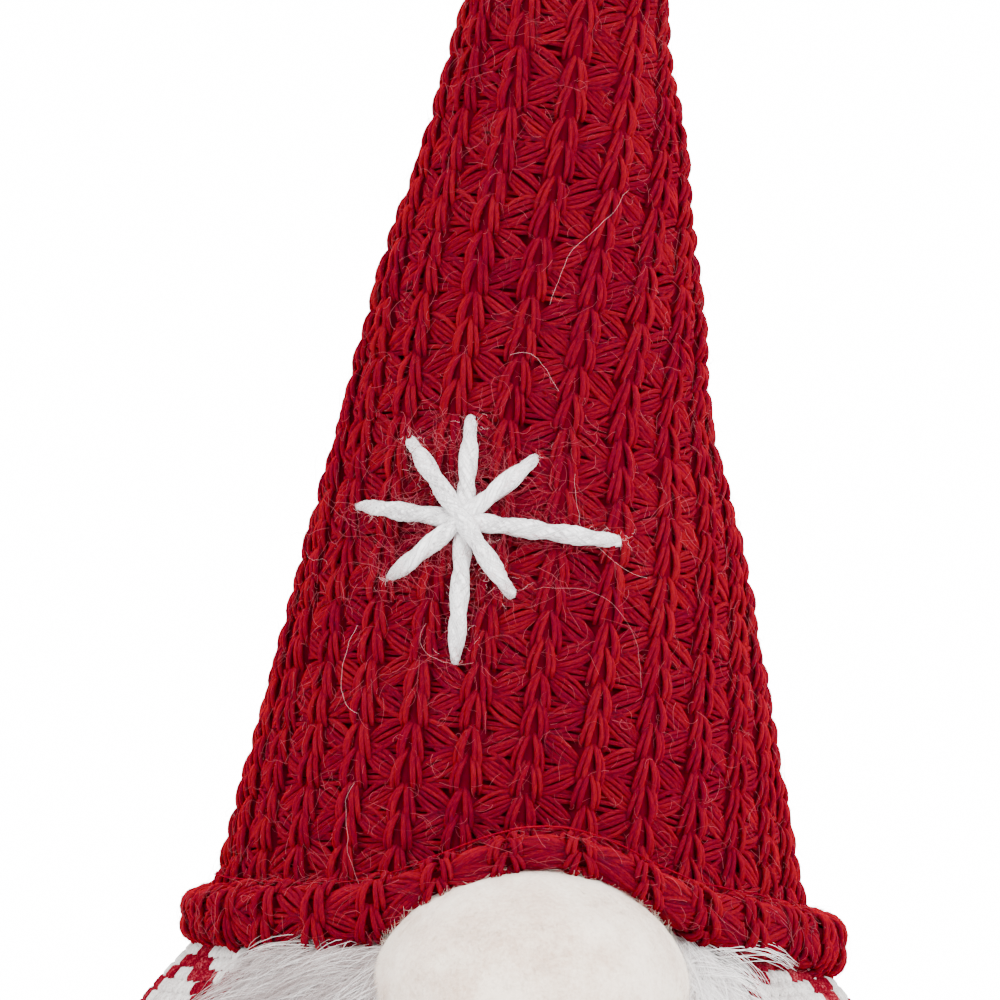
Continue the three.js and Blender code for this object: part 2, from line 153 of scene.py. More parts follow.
# The two strands of a leg start this far from the stitch's middle, open this far, and lie this much higher.
LEG_STRANDS = ((0.2, 1.2, 0.1), (0.55, 2.05, -0.1))
LEG_RADIUS = 0.44
LEG_FLATNESS = 0.95
LEG_TURN = 1.85  # past a quarter turn, so that the feet close again a little
LEG_TOP = -0.5  # in rows from the middle of the stitch
LEG_LENGTH = 1.34  # in rows
LEG_DEPTH = 2.2  # from the outside of a leg down to its ends

FAN_RADIUS = 0.42
FAN_WIDTH = 7.8
FAN_RISE = 4.1  # how far a fan climbs from one rib to the next
FAN_SPACING = 0.94
FAN_DEPTH = 2.0  # of its ends under the outside of the ribs
FAN_CROWN = 0.8

LINING_DEPTH = 3.1
LINING_RIB_RISE = 2.5
LINING_FULL_Z = (200, 250)  # the lining fills more of each rib above the first height, and most at the second
LINING_SEAM_SHARE = 0.92  # it comes up at the back seam as well
LINING_SEAM_REACH = 5
FILLING_INSET = 4.6

# ---------------------------------------------------------------- surfaces


def stacked(x, y, z):
    return np.stack(np.broadcast_arrays(x, y, z), axis=-1)


def shares(steps):
    return np.linspace(0, 1, steps)


def round_axis(radius, angle, z, axis_x=0):
    """A point at a distance and an angle from an upright axis."""
    return stacked(axis_x + radius * np.sin(angle), -radius * np.cos(angle), z)


def unit(vectors):
    return vectors / np.maximum(np.linalg.norm(vectors, axis=-1, keepdims=True), 1e-9)


def body_radius(z):
    """Outer radius of the body at a height."""
    down = np.clip((BODY_WIDEST_Z - z) / BODY_UNDER_DEPTH, 0, 1)
    up = np.clip((z - BODY_WIDEST_Z) / BODY_SHOULDER_HEIGHT, 0, 1)
    shoulder = (1 - up**BODY_SHOULDER_POWER) ** (1 / BODY_SHOULDER_POWER)
    return BODY_RADIUS * np.where(z < BODY_WIDEST_Z, np.sqrt(1 - down**2), shoulder)


def body_point(angle, z, out):
    """A point over the body, moved outwards square to its surface."""
    near = 0.05
    slope = (body_radius(z + near) - body_radius(z - near)) / (2 * near)
    length = np.hypot(1, slope)
    radius = body_radius(z) + out / length
    return round_axis(radius, angle, z - out * slope / length)


def hump(value, middle, spread):
    """1 at the middle, falling smoothly to nothing over about twice the spread."""
    return np.exp(-(((value - middle) / spread) ** 2))


def humps(value, sizes):
    """The sum of several humps, each given as its height, its middle and its spread."""
    return sum(height * hump(value, middle, spread) for height, middle, spread in sizes)


def hat_radius(z):
    cone = HAT_FOOT_RADIUS - HAT_TAPER * (z - HAT_FOOT_Z)
    return cone - HAT_WAIST_DEPTH * hump(z, HAT_WAIST_Z, HAT_WAIST_REACH)


def hat_axis_x(z):
    """Sideways place of the hat's axis, with the soft bends of its stuffing."""
    share = np.maximum((z - HAT_FOOT_Z) / (HAT_TOP_Z - HAT_FOOT_Z), 0)
    return HAT_FOOT_X + HAT_LEAN * share + HAT_FLOP * share**HAT_FLOP_POWER + humps(z, HAT_SWAYS)


def leaned(x, y, z):
    """A point of the upright hat, carried to where the leaning hat has it."""
    rise = HAT_TOP_Z - HAT_FOOT_Z
    share = np.maximum((z - HAT_FOOT_Z) / rise, 0)
    slope = (HAT_LEAN + HAT_FLOP * HAT_FLOP_POWER * share ** (HAT_FLOP_POWER - 1)) / rise
    tilt = np.arctan(slope)
    return stacked(hat_axis_x(z) + x * np.cos(tilt), y, z - x * np.sin(tilt))


def hat_point(angle, z, out):
    """A point over the hat's cone."""
    radius = hat_radius(z) + out
    return leaned(radius * np.sin(angle), -radius * np.cos(angle), z)


def hat_axis_point(z):
    return leaned(0.0, 0.0, np.asarray(z, float))


def pattern_to_hat(across, down):
    """The hat is one flat sector of ribbed knitting rolled into a cone. This gives the angle and height on
    the cone of a point of the flat sector, from the sector's apex."""
    reach = np.hypot(across, down)
    angle = WALE_START_ANGLE + np.arctan2(across, down) / HAT_SIN
    return angle, HAT_APEX_Z - reach * HAT_COS


def seam_distance(angle, z):
    """How far round the hat a place is from the seam at its back."""
    return np.maximum(math.pi - np.abs(angle), 0) * hat_radius(z)


def on_hat(across, down, out):
    angle, z = pattern_to_hat(across, down)
    tucked = hump(seam_distance(angle, z), 0, SEAM_TUCK_REACH)
    return hat_point(np.clip(angle, -math.pi, math.pi), z, out - SEAM_TUCK * tucked)


def brim_arch(angle):
    """How much of the lift over the nose the brim has at an angle, from 0 to 1."""
    x = BRIM_RING_RADIUS * np.sin(angle) - NOSE_CENTRE[0]
    around = np.arctan2(x, BRIM_RING_RADIUS * np.cos(angle))
    return hump(around, 0, BRIM_ARCH_HALF_ANGLE)


def brim_middle_z(angle):
    """Height of the middle of the rolled edge, which hangs unevenly, lowest at the right."""
    return BRIM_Z + BRIM_ARCH_HEIGHT * brim_arch(angle) - BRIM_SAG * np.sin(angle) + humps(angle, BRIM_WAVES)


def brim_point(angle, turn, out):
    """A point over the rolled edge. turn is 0 on its outside and grows upwards."""
    arch = brim_arch(angle)
    tall = humps(angle, BRIM_TALL_PLACE)
    power = BRIM_SQUARENESS
    square = (np.abs(np.cos(turn)) ** power + np.abs(np.sin(turn)) ** power) ** (-1 / power)
    plain = BRIM_ROLL_RADIUS * (1 - BRIM_ARCH_THINNING * arch)
    thickness = square * (plain + humps(angle, BRIM_FULLNESS)) + out
    radius = BRIM_RING_RADIUS + np.cos(turn) * thickness + BRIM_ARCH_PUSH * arch
    middle = brim_middle_z(angle) + BRIM_TALL_LIFT * tall
    z = middle + np.sin(turn) * thickness * (1 + BRIM_TALL_SHARE * tall)
    return round_axis(radius, angle, z, HAT_FOOT_X)


def on_brim(across, down, out):
    turn = BRIM_TOP_TURN - down / BRIM_ROLL_RADIUS
    return brim_point(across / BRIM_RING_RADIUS, turn, BRIM_RELIEF * out)


# ---------------------------------------------------------------- meshes


def placed_object(name, data):
    made = bpy.data.objects.new(name, data)
    bpy.context.scene.collection.objects.link(made)
    return made


def add_attribute(mesh, name, kind, values):
    attribute = mesh.attributes.new(name, kind, "POINT")
    field = "vector" if kind == "FLOAT_VECTOR" else "value"
    attribute.data.foreach_set(field, np.asarray(values, np.float32).ravel())


def mesh_piece(name, points, triangles, material):
    """A smooth mesh object from points in millimetres and rows of corner numbers."""
    corners = triangles.shape[1]
    mesh = bpy.data.meshes.new(name)
    mesh.vertices.add(len(points))
    mesh.vertices.foreach_set("co", (points * MM).astype(np.float32).ravel())
    mesh.loops.add(triangles.size)
    mesh.loops.foreach_set("vertex_index", triangles.astype(np.int32).ravel())
    mesh.polygons.add(len(triangles))
    mesh.polygons.foreach_set("loop_start", np.arange(0, triangles.size, corners, dtype=np.int32))
    mesh.polygons.foreach_set("use_smooth", np.ones(len(triangles), bool))
    mesh.update(calc_edges=True)
    mesh.materials.append(material)
    return placed_object(name, mesh)


class Strands:
    """Separate closed strands of yarn, thread or hair that become one mesh."""

    def __init__(self, seed):
        self.random = np.random.default_rng(seed)
        self.points = []
        self.triangles = []
        self.lies = []
        self.shades = []
        self.count = 0

    def add(self, paths, outward, width, thickness=None, sides=6, twist_length=9.0):
        """paths has a row of points for each strand, or is one strand. width and thickness are half sizes at
        those points, and outward is the way that thickness is measured."""
        paths = paths[None] if paths.ndim == 2 else paths
        strands, steps = paths.shape[:2]
        thickness = width if thickness is None else thickness
        width = np.broadcast_to(width, (strands, steps))[:, :, None, None]
        thickness = np.broadcast_to(thickness, (strands, steps))[:, :, None, None]
        along = unit(np.gradient(paths, axis=1))
        across = unit(np.cross(along, np.broadcast_to(outward, paths.shape)))
        lift = np.cross(across, along)
        turn = np.arange(sides) * TURN / sides - TURN / 4
        cosine = np.cos(turn)[None, None, :, None]
        sine = np.sin(turn)[None, None, :, None]
        rings = paths[:, :, None] + across[:, :, None] * cosine * width + lift[:, :, None] * sine * thickness
        self.points.append(rings.reshape(-1, 3))
        self.triangles.append(self.skin(strands, steps, sides) + self.count)
        self.count += rings.size // 3
        run = np.cumsum(np.linalg.norm(np.diff(paths, axis=1, prepend=paths[:, :1]), axis=2), axis=1)
        spin = turn[None, None, :] + run[:, :, None] * TURN / twist_length
        lie = stacked(np.cos(spin), np.sin(spin), run[:, :, None])
        self.lies.append(lie.reshape(-1, 3))
        self.shades.append(np.repeat(self.random.random(strands), steps * sides))

    @staticmethod
    def skin(strands, steps, sides):
        """Corner numbers of the walls and the two flat ends of every strand."""
        corner = np.arange(sides)
        ring = np.arange(steps - 1)[:, None] * sides
        a = ring + corner
        b = ring + (corner + 1) % sides
        walls = np.concatenate([np.stack([a, b, b + sides], -1), np.stack([a, b + sides, a + sides], -1)])
        fan = np.arange(1, sides - 1)
        start = np.stack([0 * fan, fan + 1, fan], -1)
        end = np.stack([0 * fan, fan, fan + 1], -1) + (steps - 1) * sides
        one = np.concatenate([walls.reshape(-1, 3), start, end])
        return (np.arange(strands)[:, None, None] * steps * sides + one).reshape(-1, 3)

    def piece(self, name, material):
        made = mesh_piece(name, np.concatenate(self.points), np.concatenate(self.triangles), material)
        add_attribute(made.data, "lie", "FLOAT_VECTOR", np.concatenate(self.lies))
        add_attribute(made.data, "shade", "FLOAT", np.concatenate(self.shades))
        return made


def grid_piece(name, points, material):
    """A smooth mesh from a grid of points, rows first, closed round each row."""
    rows, columns = points.shape[:2]
    row = np.arange(rows - 1)[:, None] * columns
    column = np.arange(columns)
    following = (column + 1) % columns
    corners = [row + column, row + following, row + following + columns, row + column + columns]
    quads = np.stack(np.broadcast_arrays(*corners), -1).reshape(-1, 4)
    return mesh_piece(name, points.reshape(-1, 3), quads, material)


def weld(piece):
    """Joins the corners of a piece that lie in the same place."""
    made = bmesh.new()
    made.from_mesh(piece.data)
    bmesh.ops.remove_doubles(made, verts=made.verts, dist=0.001 * MM)
    made.to_mesh(piece.data)
    made.free()
    return piece


def ripple(points, length, seed, waves=24):
    """Smooth random values from -1 to 1 that change over about a length."""
    random = np.random.default_rng(seed)
    directions = unit(random.normal(size=(waves, 3))) * TURN / length
    directions *= random.uniform(0.6, 1.6, (waves, 1))
    phases = random.uniform(0, TURN, waves)
    return np.sin(points @ directions.T + phases).sum(axis=-1) / math.sqrt(waves) / 1.6


def bell(share):
    """0 at both ends and 1 in the middle."""
    return np.sin(math.pi * np.clip(share, 0, 1))


# ---------------------------------------------------------------- materials


SHEEN_ROUGHNESS = 0.45
SOFT_DEPTH = 1.4  # how far light goes between the fibres


class Look:
    """A node material with a Principled surface, built up one named node at a time."""

    def __init__(self, name, roughness, sheen=0.0, metallic=0.0, gloss=0.0):
        self.material = bpy.data.materials.new(name)
        self.material.use_nodes = True
        self.tree = self.material.node_tree
        self.surface = self.tree.nodes["Principled BSDF"]
        self.settle(Roughness=roughness, Metallic=metallic, Specular_IOR_Level=gloss)
        self.settle(Sheen_Weight=sheen, Sheen_Roughness=SHEEN_ROUGHNESS)

    def settle(self, **values):
        """Sets plain values of the surface, named with an underscore for each space."""
        for name, value in values.items():
            self.surface.inputs[name.replace("_", " ")].default_value = value

    def node(self, kind, **inputs):
        made = self.tree.nodes.new(kind)
        for name, value in inputs.items():
            self.feed(made.inputs[name.replace("_", " ")], value)
        return made

    def feed(self, socket, value):
        if isinstance(value, bpy.types.NodeSocket):
            self.tree.links.new(value, socket)
        else:
            socket.default_value = value

    def attribute(self, name):
        made = self.tree.nodes.new("ShaderNodeAttribute")
        made.attribute_name = name
        return made

    def place(self):
        return self.tree.nodes.new("ShaderNodeTexCoord").outputs["Object"]

    def noise(self, vector, scale, detail=2.0, roughness=0.5):
        made = self.node("ShaderNodeTexNoise", Vector=vector, Scale=scale, Detail=detail, Roughness=roughness)
        return made.outputs["Fac"]

    def maths(self, operation, first, second=0.0):
        made = self.tree.nodes.new("ShaderNodeMath")
        made.operation = operation
        self.feed(made.inputs[0], first)
        self.feed(made.inputs[1], second)
        return made.outputs[0]

    def weighted(self, *parts):
        """The sum of several values, each given with its weight."""
        total = self.maths("MULTIPLY", *parts[0])
        for part in parts[1:]:
            total = self.maths("ADD", total, self.maths("MULTIPLY", *part))
        return total

    def ramp(self, value, stops):
        made = self.node("ShaderNodeValToRGB", Fac=value)
        points = made.color_ramp.elements
        while len(points) < len(stops):
            points.new(0.5)
        for point, (place, colour) in zip(points, stops):
            point.position = place
            point.color = (*colour, 1)
        return made.outputs["Color"]

    def colour(self, value):
        self.feed(self.surface.inputs["Base Color"], value)

    def soften(self, amount, tint):
        """Lets a little light through the fibres, further for the tint's stronger colours."""
        self.settle(Subsurface_Weight=amount, Subsurface_Scale=SOFT_DEPTH * MM, Subsurface_Radius=tint)

    def bump(self, height, strength, distance):
        made = self.node("ShaderNodeBump", Height=height, Strength=strength, Distance=distance * MM)
        self.feed(self.surface.inputs["Normal"], made.outputs["Normal"])


def yarn_look(name, deep, middle, bright, sheen=0.0, softness=0.65, soft_tint=(1, 0.1, 0.06)):
    """Spun yarn: fine fibres along the strand, and strands that differ a little from each other."""
    look = Look(name, 0.9, sheen)
    lie = look.attribute("lie")
    shade = look.attribute("shade").outputs["Fac"]
    stretched = look.node("ShaderNodeVectorMath", Vector=lie.outputs["Vector"])
    stretched.operation = "MULTIPLY"
    stretched.inputs[1].default_value = (1, 1, 0.35)
    moved = look.node("ShaderNodeVectorMath")
    moved.operation = "ADD"
    look.feed(moved.inputs[0], stretched.outputs[0])
    look.feed(moved.inputs[1], look.maths("MULTIPLY", shade, 37.0))
    fibres = look.noise(moved.outputs[0], 2.6, 3.0, 0.6)
    mottle = look.noise(look.place(), 90.0, 2.0)
    tone = look.weighted((fibres, 0.72), (mottle, 0.18), (shade, 0.12))
    look.colour(look.ramp(tone, [(0.36, deep), (0.52, middle), (0.68, bright)]))
    look.bump(fibres, 0.7, 0.25)
    look.soften(softness, soft_tint)
    return look.material


def hair_look(name, dull_and_shaded, clean_and_lit, sheen=0.2, gloss=0.15, painted_light_right=0.0):
    """Fine hair whose strands differ in tone, with painted light that makes it lighter towards +X and painted
    shade that makes it greyer towards -X, by a share for each metre.
    """
    look = Look(name, 0.6, sheen, gloss=gloss)
    shade = look.attribute("shade").outputs["Fac"]
    mottle = look.noise(look.place(), 160.0, 2.0)
    across = look.node("ShaderNodeSeparateXYZ", Vector=look.place()).outputs["X"]
    # Painted light and shade: the tone grows with X, so the fur is painted lighter on the right and greyer on
    # the left.
    tone = look.weighted((shade, 0.6), (mottle, 0.4), (across, painted_light_right))
    look.colour(look.ramp(tone, [(0.2, dull_and_shaded), (0.75, clean_and_lit)]))
    look.bump(look.noise(look.place(), 900.0, 2.0), 0.3, 0.1)
    return look.material


def felt_look(name, deep, pale, sheen=0.6, fibre=1500.0):
    """Pressed felt: short tangled fibres and a faint mottling."""
    look = Look(name, 0.95, sheen)
    fibres = look.noise(look.place(), fibre, 6.0, 0.75)
    mottle = look.noise(look.place(), 120.0, 3.0)
    tone = look.weighted((fibres, 0.5), (mottle, 0.5))
    look.colour(look.ramp(tone, [(0.38, deep), (0.58, pale)]))
    look.bump(fibres, 0.8, 0.6)
    return look.material


def grain_look(name, deep, pale, roughness, scale, metallic=0.0):
    """An even hidden material with a fine grain."""
    look = Look(name, roughness, metallic=metallic, gloss=0.4)
    grain = look.noise(look.place(), scale, 4.0, 0.6)
    look.colour(look.ramp(grain, [(0.35, deep), (0.65, pale)]))
    look.bump(grain, 0.4, 0.3)
    return look.material


PALE_TINT = (1, 0.9, 0.85)  # light goes almost as far at every colour in white fibres
RED_YARN = yarn_look("red_yarn", (0.062, 0.001, 0.008), (0.098, 0.002, 0.0075), (0.137, 0.004, 0.007))
# A darker copy of the red yarn: painted shade in the hollows between the stitches.
RED_LINING_PAINTED_SHADE = yarn_look("red_lining_painted_shade", (0.05, 0.0, 0.004), (0.065, 0.001, 0.005), (0.085, 0.001, 0.006))
RED_FUZZ = hair_look("red_fuzz", (0.09, 0.002, 0.008), (0.3, 0.045, 0.06), 0.05, 0.05)
PALE_FUZZ = hair_look("pale_fuzz", (0.4, 0.12, 0.13), (0.7, 0.4, 0.4))
WHITE_YARN = yarn_look(
    "white_yarn", (0.36, 0.33, 0.34), (0.84, 0.81, 0.81), (0.95, 0.93, 0.93), 0.3, 0.15, PALE_TINT
)
# Painted light and shade on the beard: lighter on its right, where the light falls, and greyer on its left.
WHITE_FUR = hair_look("white_fur", (0.3, 0.24, 0.23), (0.98, 0.95, 0.94), painted_light_right=8.0)
CREAM_FELT = felt_look("cream_felt", (0.7, 0.5, 0.38), (1.0, 0.85, 0.7))
RED_FELT = felt_look("red_felt", (0.07, 0.0, 0.005), (0.15, 0.002, 0.012), 0.1)
RED_CLOTH = yarn_look("red_cloth", (0.06, 0.001, 0.005), (0.12, 0.002, 0.01), (0.3, 0.05, 0.06), 0, 0.1)
WHITE_CLOTH = yarn_look(
    "white_cloth", (0.34, 0.3, 0.29), (0.56, 0.52, 0.5), (0.7, 0.67, 0.65), 0, 0.1, PALE_TINT
)
RED_THREAD = yarn_look("red_thread", (0.05, 0.0, 0.004), (0.12, 0.0, 0.008), (0.22, 0.002, 0.016))
STUFFING = felt_look("stuffing", (0.82, 0.82, 0.8), (0.93, 0.92, 0.9), fibre=700.0)
THREAD = grain_look("thread", (0.7, 0.66, 0.6), (0.85, 0.82, 0.76), 0.8, 2500.0)
CARD = grain_look("card", (0.38, 0.28, 0.17), (0.52, 0.4, 0.27), 0.9, 600.0)
POUCH_COTTON = grain_look("pouch_cotton", (0.5, 0.45, 0.36), (0.66, 0.6, 0.5), 0.95, 1400.0)
PELLETS = grain_look("pellets", (0.7, 0.7, 0.7), (0.92, 0.92, 0.92), 0.45, 350.0)
STEEL = grain_look("steel", (0.45, 0.46, 0.47), (0.6, 0.61, 0.62), 0.35, 800.0, 1.0)

# ---------------------------------------------------------------- knitted stitches


def leg_paths(random, place, across, down, pitch):
    """The two legs of each stitch, an upside-down V of doubled yarn. Its point comes out from under the
    stitch above, and its feet go in under the stitches on both sides of the one below."""
    share = shares(7)
    each = (len(across), 1)
    open_share = np.sin(LEG_TURN * share)
    rise = bell(0.08 + 0.8 * share) ** 0.6
    paths = []
    for side in (-1, 1):
        wander = random.normal(0, 0.14, each)
        spread = random.normal(1, 0.07, each)
        for top_x, wide_x, high in LEG_STRANDS:
            x = side * spread * (top_x + (wide_x - top_x) * open_share) + wander
            y = (LEG_TOP + LEG_LENGTH * share) * pitch + random.normal(0, 0.16, each)
            out = -LEG_DEPTH + LEG_DEPTH * rise + high - 0.08 * x**2 + random.normal(0, 0.1, each)
            paths.append(place(across[:, None] + x, down[:, None] + y, out))
    return np.concatenate(paths)


def fan_paths(random, place, across, down, slant, strands, pinch, depth):
    """The yarns that lie across the hollow between two ribs. A pinch draws them together at both ribs."""
    share = shares(6)
    each = (len(across), 1)
    x = (share - 0.5) * FAN_WIDTH
    spacing = FAN_SPACING - pinch * (1 - bell(share))
    paths = []
    for level in np.arange(strands) - (strands - 1) / 2:
        y = slant[:, None] * (share - 0.5) * FAN_RISE + level * spacing
        y = y + random.normal(0, 0.12, each) + random.normal(0, 0.2, each) * (share - 0.5)
        out = -FAN_DEPTH - depth + FAN_CROWN * bell(share) + random.normal(0, 0.14, each)
        paths.append(place(across[:, None] + x, down[:, None] + y, out))
    return np.concatenate(paths)


def hat_outward(paths):
    return unit((paths - hat_axis_point(paths[..., 2])) * LEVEL)


def taper(steps, ends=0.45):
    """Half sizes along a strand, as a share of the full one, drawn in at both ends."""
    return ends + (1 - ends) * bell(np.linspace(0.04, 0.96, steps)) ** 0.4


def add_stitches(strands, surface, across, down, pitch):
    place, outward_of = surface
    paths = leg_paths(strands.random, place, across, down, pitch)
    shape = LEG_RADIUS * taper(paths.shape[1])
    strands.add(paths, outward_of(paths), shape, shape * LEG_FLATNESS)


def add_fans(strands, surface, across, down, slant):
    """Fans that slant one way and the other row by row, and level yarns that show between them."""
    place, outward_of = surface
    slanting = fan_paths(strands.random, place, across, down, slant, strands=5, pinch=0.58, depth=0)
    between = down + ROW_PITCH / 2
    level = fan_paths(strands.random, place, across, between, 0 * slant, strands=3, pinch=0.1, depth=0.35)
    paths = np.concatenate([slanting, level])
    shape = FAN_RADIUS * taper(paths.shape[1], 0.7)
    strands.add(paths, outward_of(paths), shape, sides=5, twist_length=7)


def hat_grid(offset, inside):
    """Pattern places of the stitches on one part of the cone, and the way each slants. They are on the ribs
    (offset 0) or in the hollows (offset 0.5)."""
    wale, row = (grid.ravel() for grid in np.meshgrid(WALES, ROWS, indexing="ij"))
    across = (wale + offset) * WALE_SPACING
    down = ROW_START + row * ROW_PITCH + np.where(row % 2, ROW_UNEVENNESS, -ROW_UNEVENNESS)
    angle, z = pattern_to_hat(across, down)
    low = np.maximum(brim_middle_z(angle) - 1.5, HAT_FOOT_Z)
    kept = (seam_distance(angle, z) > 0.5) & (z > low) & (z < HAT_TOP_Z - 5) & inside(angle, z)
    slant = np.where((wale + row) % 2, 1.0, -1.0)
    return across[kept], down[kept], slant[kept]


def knit_hat_pieces():
    """The ribs and the hollows of the hat, in three lengths: the front and the back of the lower part, and
    the upper part.
    """
    made = {}
    lengths = {
        "front_lower": lambda angle, z: (np.abs(angle) < math.pi / 2) & (z < SPLIT_Z),
        "back_lower": lambda angle, z: (np.abs(angle) >= math.pi / 2) & (z < SPLIT_Z),
        "upper": lambda angle, z: z >= SPLIT_Z,
    }
    for seed, (length, inside) in enumerate(lengths.items()):
        ribs = Strands(100 + seed)
        across, down, _ = hat_grid(0, inside)
        add_stitches(ribs, HAT_SURFACE, across, down, ROW_PITCH)
        hollows = Strands(200 + seed)
        add_fans(hollows, HAT_SURFACE, *hat_grid(0.5, inside))
        made[length] = [
            ribs.piece(f"hat_ribs_{length}", RED_YARN),
            hollows.piece(f"hat_hollows_{length}", RED_YARN),
        ]
    return made


def brim_outward(paths):
    angle = np.arctan2(paths[..., 0] - HAT_FOOT_X, -paths[..., 1])
    arch = brim_arch(angle)
    radius = BRIM_RING_RADIUS + BRIM_ARCH_PUSH * arch
    return unit(paths - round_axis(radius, angle, brim_middle_z(angle), HAT_FOOT_X))


HAT_SURFACE = (on_hat, hat_outward)
BRIM_SURFACE = (on_brim, brim_outward)


def brim_piece():
    """The rolled edge, whose stitches go on from the ribs above it."""
    foot = (HAT_APEX_Z - HAT_FOOT_Z) / HAT_COS
    slope = np.arcsin(np.clip(WALES * WALE_SPACING / foot, -1, 1))
    angle = WALE_START_ANGLE + slope / HAT_SIN
    angle = angle[np.abs(angle) < math.pi]
    rib_angle, row = np.meshgrid(angle, BRIM_ROWS, indexing="ij")
    across = rib_angle.ravel() * BRIM_RING_RADIUS
    down = (row.ravel() + 0.4) * BRIM_ROW_PITCH
    strands = Strands(300)
    add_stitches(strands, BRIM_SURFACE, across, down, BRIM_ROW_PITCH)
    slant = np.where((np.arange(angle.size)[:, None] + BRIM_ROWS) % 2, 1.0, -1.0).ravel()
    gap = np.diff(angle, append=angle[0] + TURN) / 2
    hollow_across = ((rib_angle + gap[:, None]) * BRIM_RING_RADIUS).ravel()
    add_fans(strands, BRIM_SURFACE, hollow_across, down, slant)
    return strands.piece("hat_brim_knit", RED_YARN)


def grid_round(low, high, rows, columns):
    """A grid of values from low to high, row by row, and of angles round the figure along each row."""
    angle = np.linspace(-math.pi, math.pi, columns, endpoint=False)
    return np.meshgrid(np.linspace(low, high, rows), angle, indexing="ij")


def under_knit(name, low_z, high_z):
    """The dense side of the knitting that shows between its stitches, higher under each rib. It takes the red
    yarn painted darker, as painted shade in the holes between the stitches.
    """
    z, turn = grid_round(low_z, high_z, int((high_z - low_z) / 1.4), 250)
    reach = (HAT_APEX_Z - z) / HAT_COS
    across = reach * np.sin((turn - WALE_START_ANGLE) * HAT_SIN)
    rib = 0.5 + 0.5 * np.cos(across / WALE_SPACING * TURN)
    full_from, full_to = LINING_FULL_Z
    narrowness = 2 - np.clip((z - full_from) / (full_to - full_from), 0, 1)
    at_seam = LINING_SEAM_SHARE * hump(seam_distance(turn, z), 0, LINING_SEAM_REACH)
    points = hat_point(turn, z, -LINING_DEPTH + LINING_RIB_RISE * np.maximum(rib**narrowness, at_seam))
    points += hat_outward(points) * 0.2 * ripple(points, 4, 7)[..., None]
    return grid_piece(name, points, RED_LINING_PAINTED_SHADE)


def under_brim():
    turn, angle = grid_round(0, TURN, 21, 144)
    # The roll under the brim's stitches takes the darker red yarn, as painted shade between them.
    return grid_piece("hat_brim_roll", brim_point(angle, turn, -1.9), RED_LINING_PAINTED_SHADE)


def hat_filling(name, low_z, high_z):
    """The stuffing inside the hat, drawn to a point at both ends."""
    z, turn = grid_round(low_z, high_z, 40, 40)
    points = hat_point(turn, z, -FILLING_INSET)
    points += hat_outward(points) * 0.3 * ripple(points, 9, 8)[..., None]
    points[0] = hat_axis_point(low_z)
    points[-1] = hat_axis_point(high_z)
    return grid_piece(name, points, STUFFING)


# ---------------------------------------------------------------- yarns and fuzz on the hat


def wire_piece(name, low_z, high_z):
    """A round wire up the hat's axis."""
    path = hat_axis_point(np.linspace(low_z, high_z, 24))
    wire = Strands(400)
    wire.add(path, (0, 1, 0), WIRE_RADIUS, sides=10)
    return wire.piece(name, STEEL)


def seam_piece(name, low_z, high_z):
    """The doubled yarn that closes the back seam, with slanting stitches over it."""
    seam = Strands(410)
    z = np.linspace(low_z, high_z, int(high_z - low_z))
    twist = z * TURN / SEAM_YARN_TWIST
    for side in (-1, 1):
        swing = side * 0.45 * np.cos(twist)
        path = hat_point(math.pi + swing / hat_radius(z), z, 0.1 + 0.35 * np.sin(twist) * side)
        seam.add(path, (0, 1, 0), SEAM_YARN_RADIUS)
    share = np.linspace(-1, 1, 7)
    foot = np.arange(low_z + 3, high_z - 2, SEAM_STITCH_PITCH)[:, None]
    out = -1.6 + 2.4 * np.sqrt(1 - 0.9 * share**2)
    stitches = hat_point(math.pi + share * 1.9 / hat_radius(foot), foot + share * 1.2, out)
    seam.add(stitches, (0, 1, 0), SEAM_STITCH_RADIUS)
    return seam.piece(name, RED_THREAD)


def tip_pieces():
    """The gathered end of the hat, and the thread wound round it."""
    gather = Strands(420)
    share = shares(9)
    angle = np.linspace(0, TURN, 16, endpoint=False)[:, None]
    z = TIP_TIE_Z - 4 + (HAT_TOP_Z - TIP_TIE_Z + 3.6) * share
    closing = np.sqrt(np.maximum(1 - share**3, 0))
    radius = hat_radius(z) * closing - 1.3 * hump(z, TIP_TIE_Z, 1.6) - 0.6
    points = leaned(radius * np.sin(angle), -radius * np.cos(angle), z)
    gather.add(points, unit(points - hat_axis_point(z - 3)), 0.95, 0.8)
    thread = Strands(430)
    turns = np.linspace(0, 3, 90)
    wound_z = TIP_TIE_Z - 1 + 0.8 * turns
    wound = hat_radius(TIP_TIE_Z) + 0.25
    path = leaned(wound * np.sin(turns * TURN), -wound * np.cos(turns * TURN), wound_z)
    thread.add(path, unit(path - hat_axis_point(wound_z)), 0.5)
    return gather.piece("hat_tip_gather", RED_YARN), thread.piece("hat_tip_winding", RED_THREAD)


def curly_paths(random, place, across, down, out, length, curl, lift, steps=6):
    """Short loose fibres that start on a surface, drift along it and curl away from it."""
    share = shares(steps)
    count = len(across)
    heading = random.uniform(0, TURN, (count, 1))
    bend = random.normal(0, curl, (count, 1))
    direction = heading + bend * share + random.normal(0, 0.35, (count, steps)).cumsum(axis=1) * curl / 3
    step = length[:, None] / (steps - 1)
    x = np.cumsum(np.cos(direction) * step, axis=1) - np.cos(direction[:, :1]) * step
    y = np.cumsum(np.sin(direction) * step, axis=1) - np.sin(direction[:, :1]) * step
    rise = lift * random.uniform(0.1, 1, (count, 1)) * share ** random.uniform(0.6, 1.6, (count, 1))
    return place(across[:, None] + x, down[:, None] + y, out[:, None] + rise)


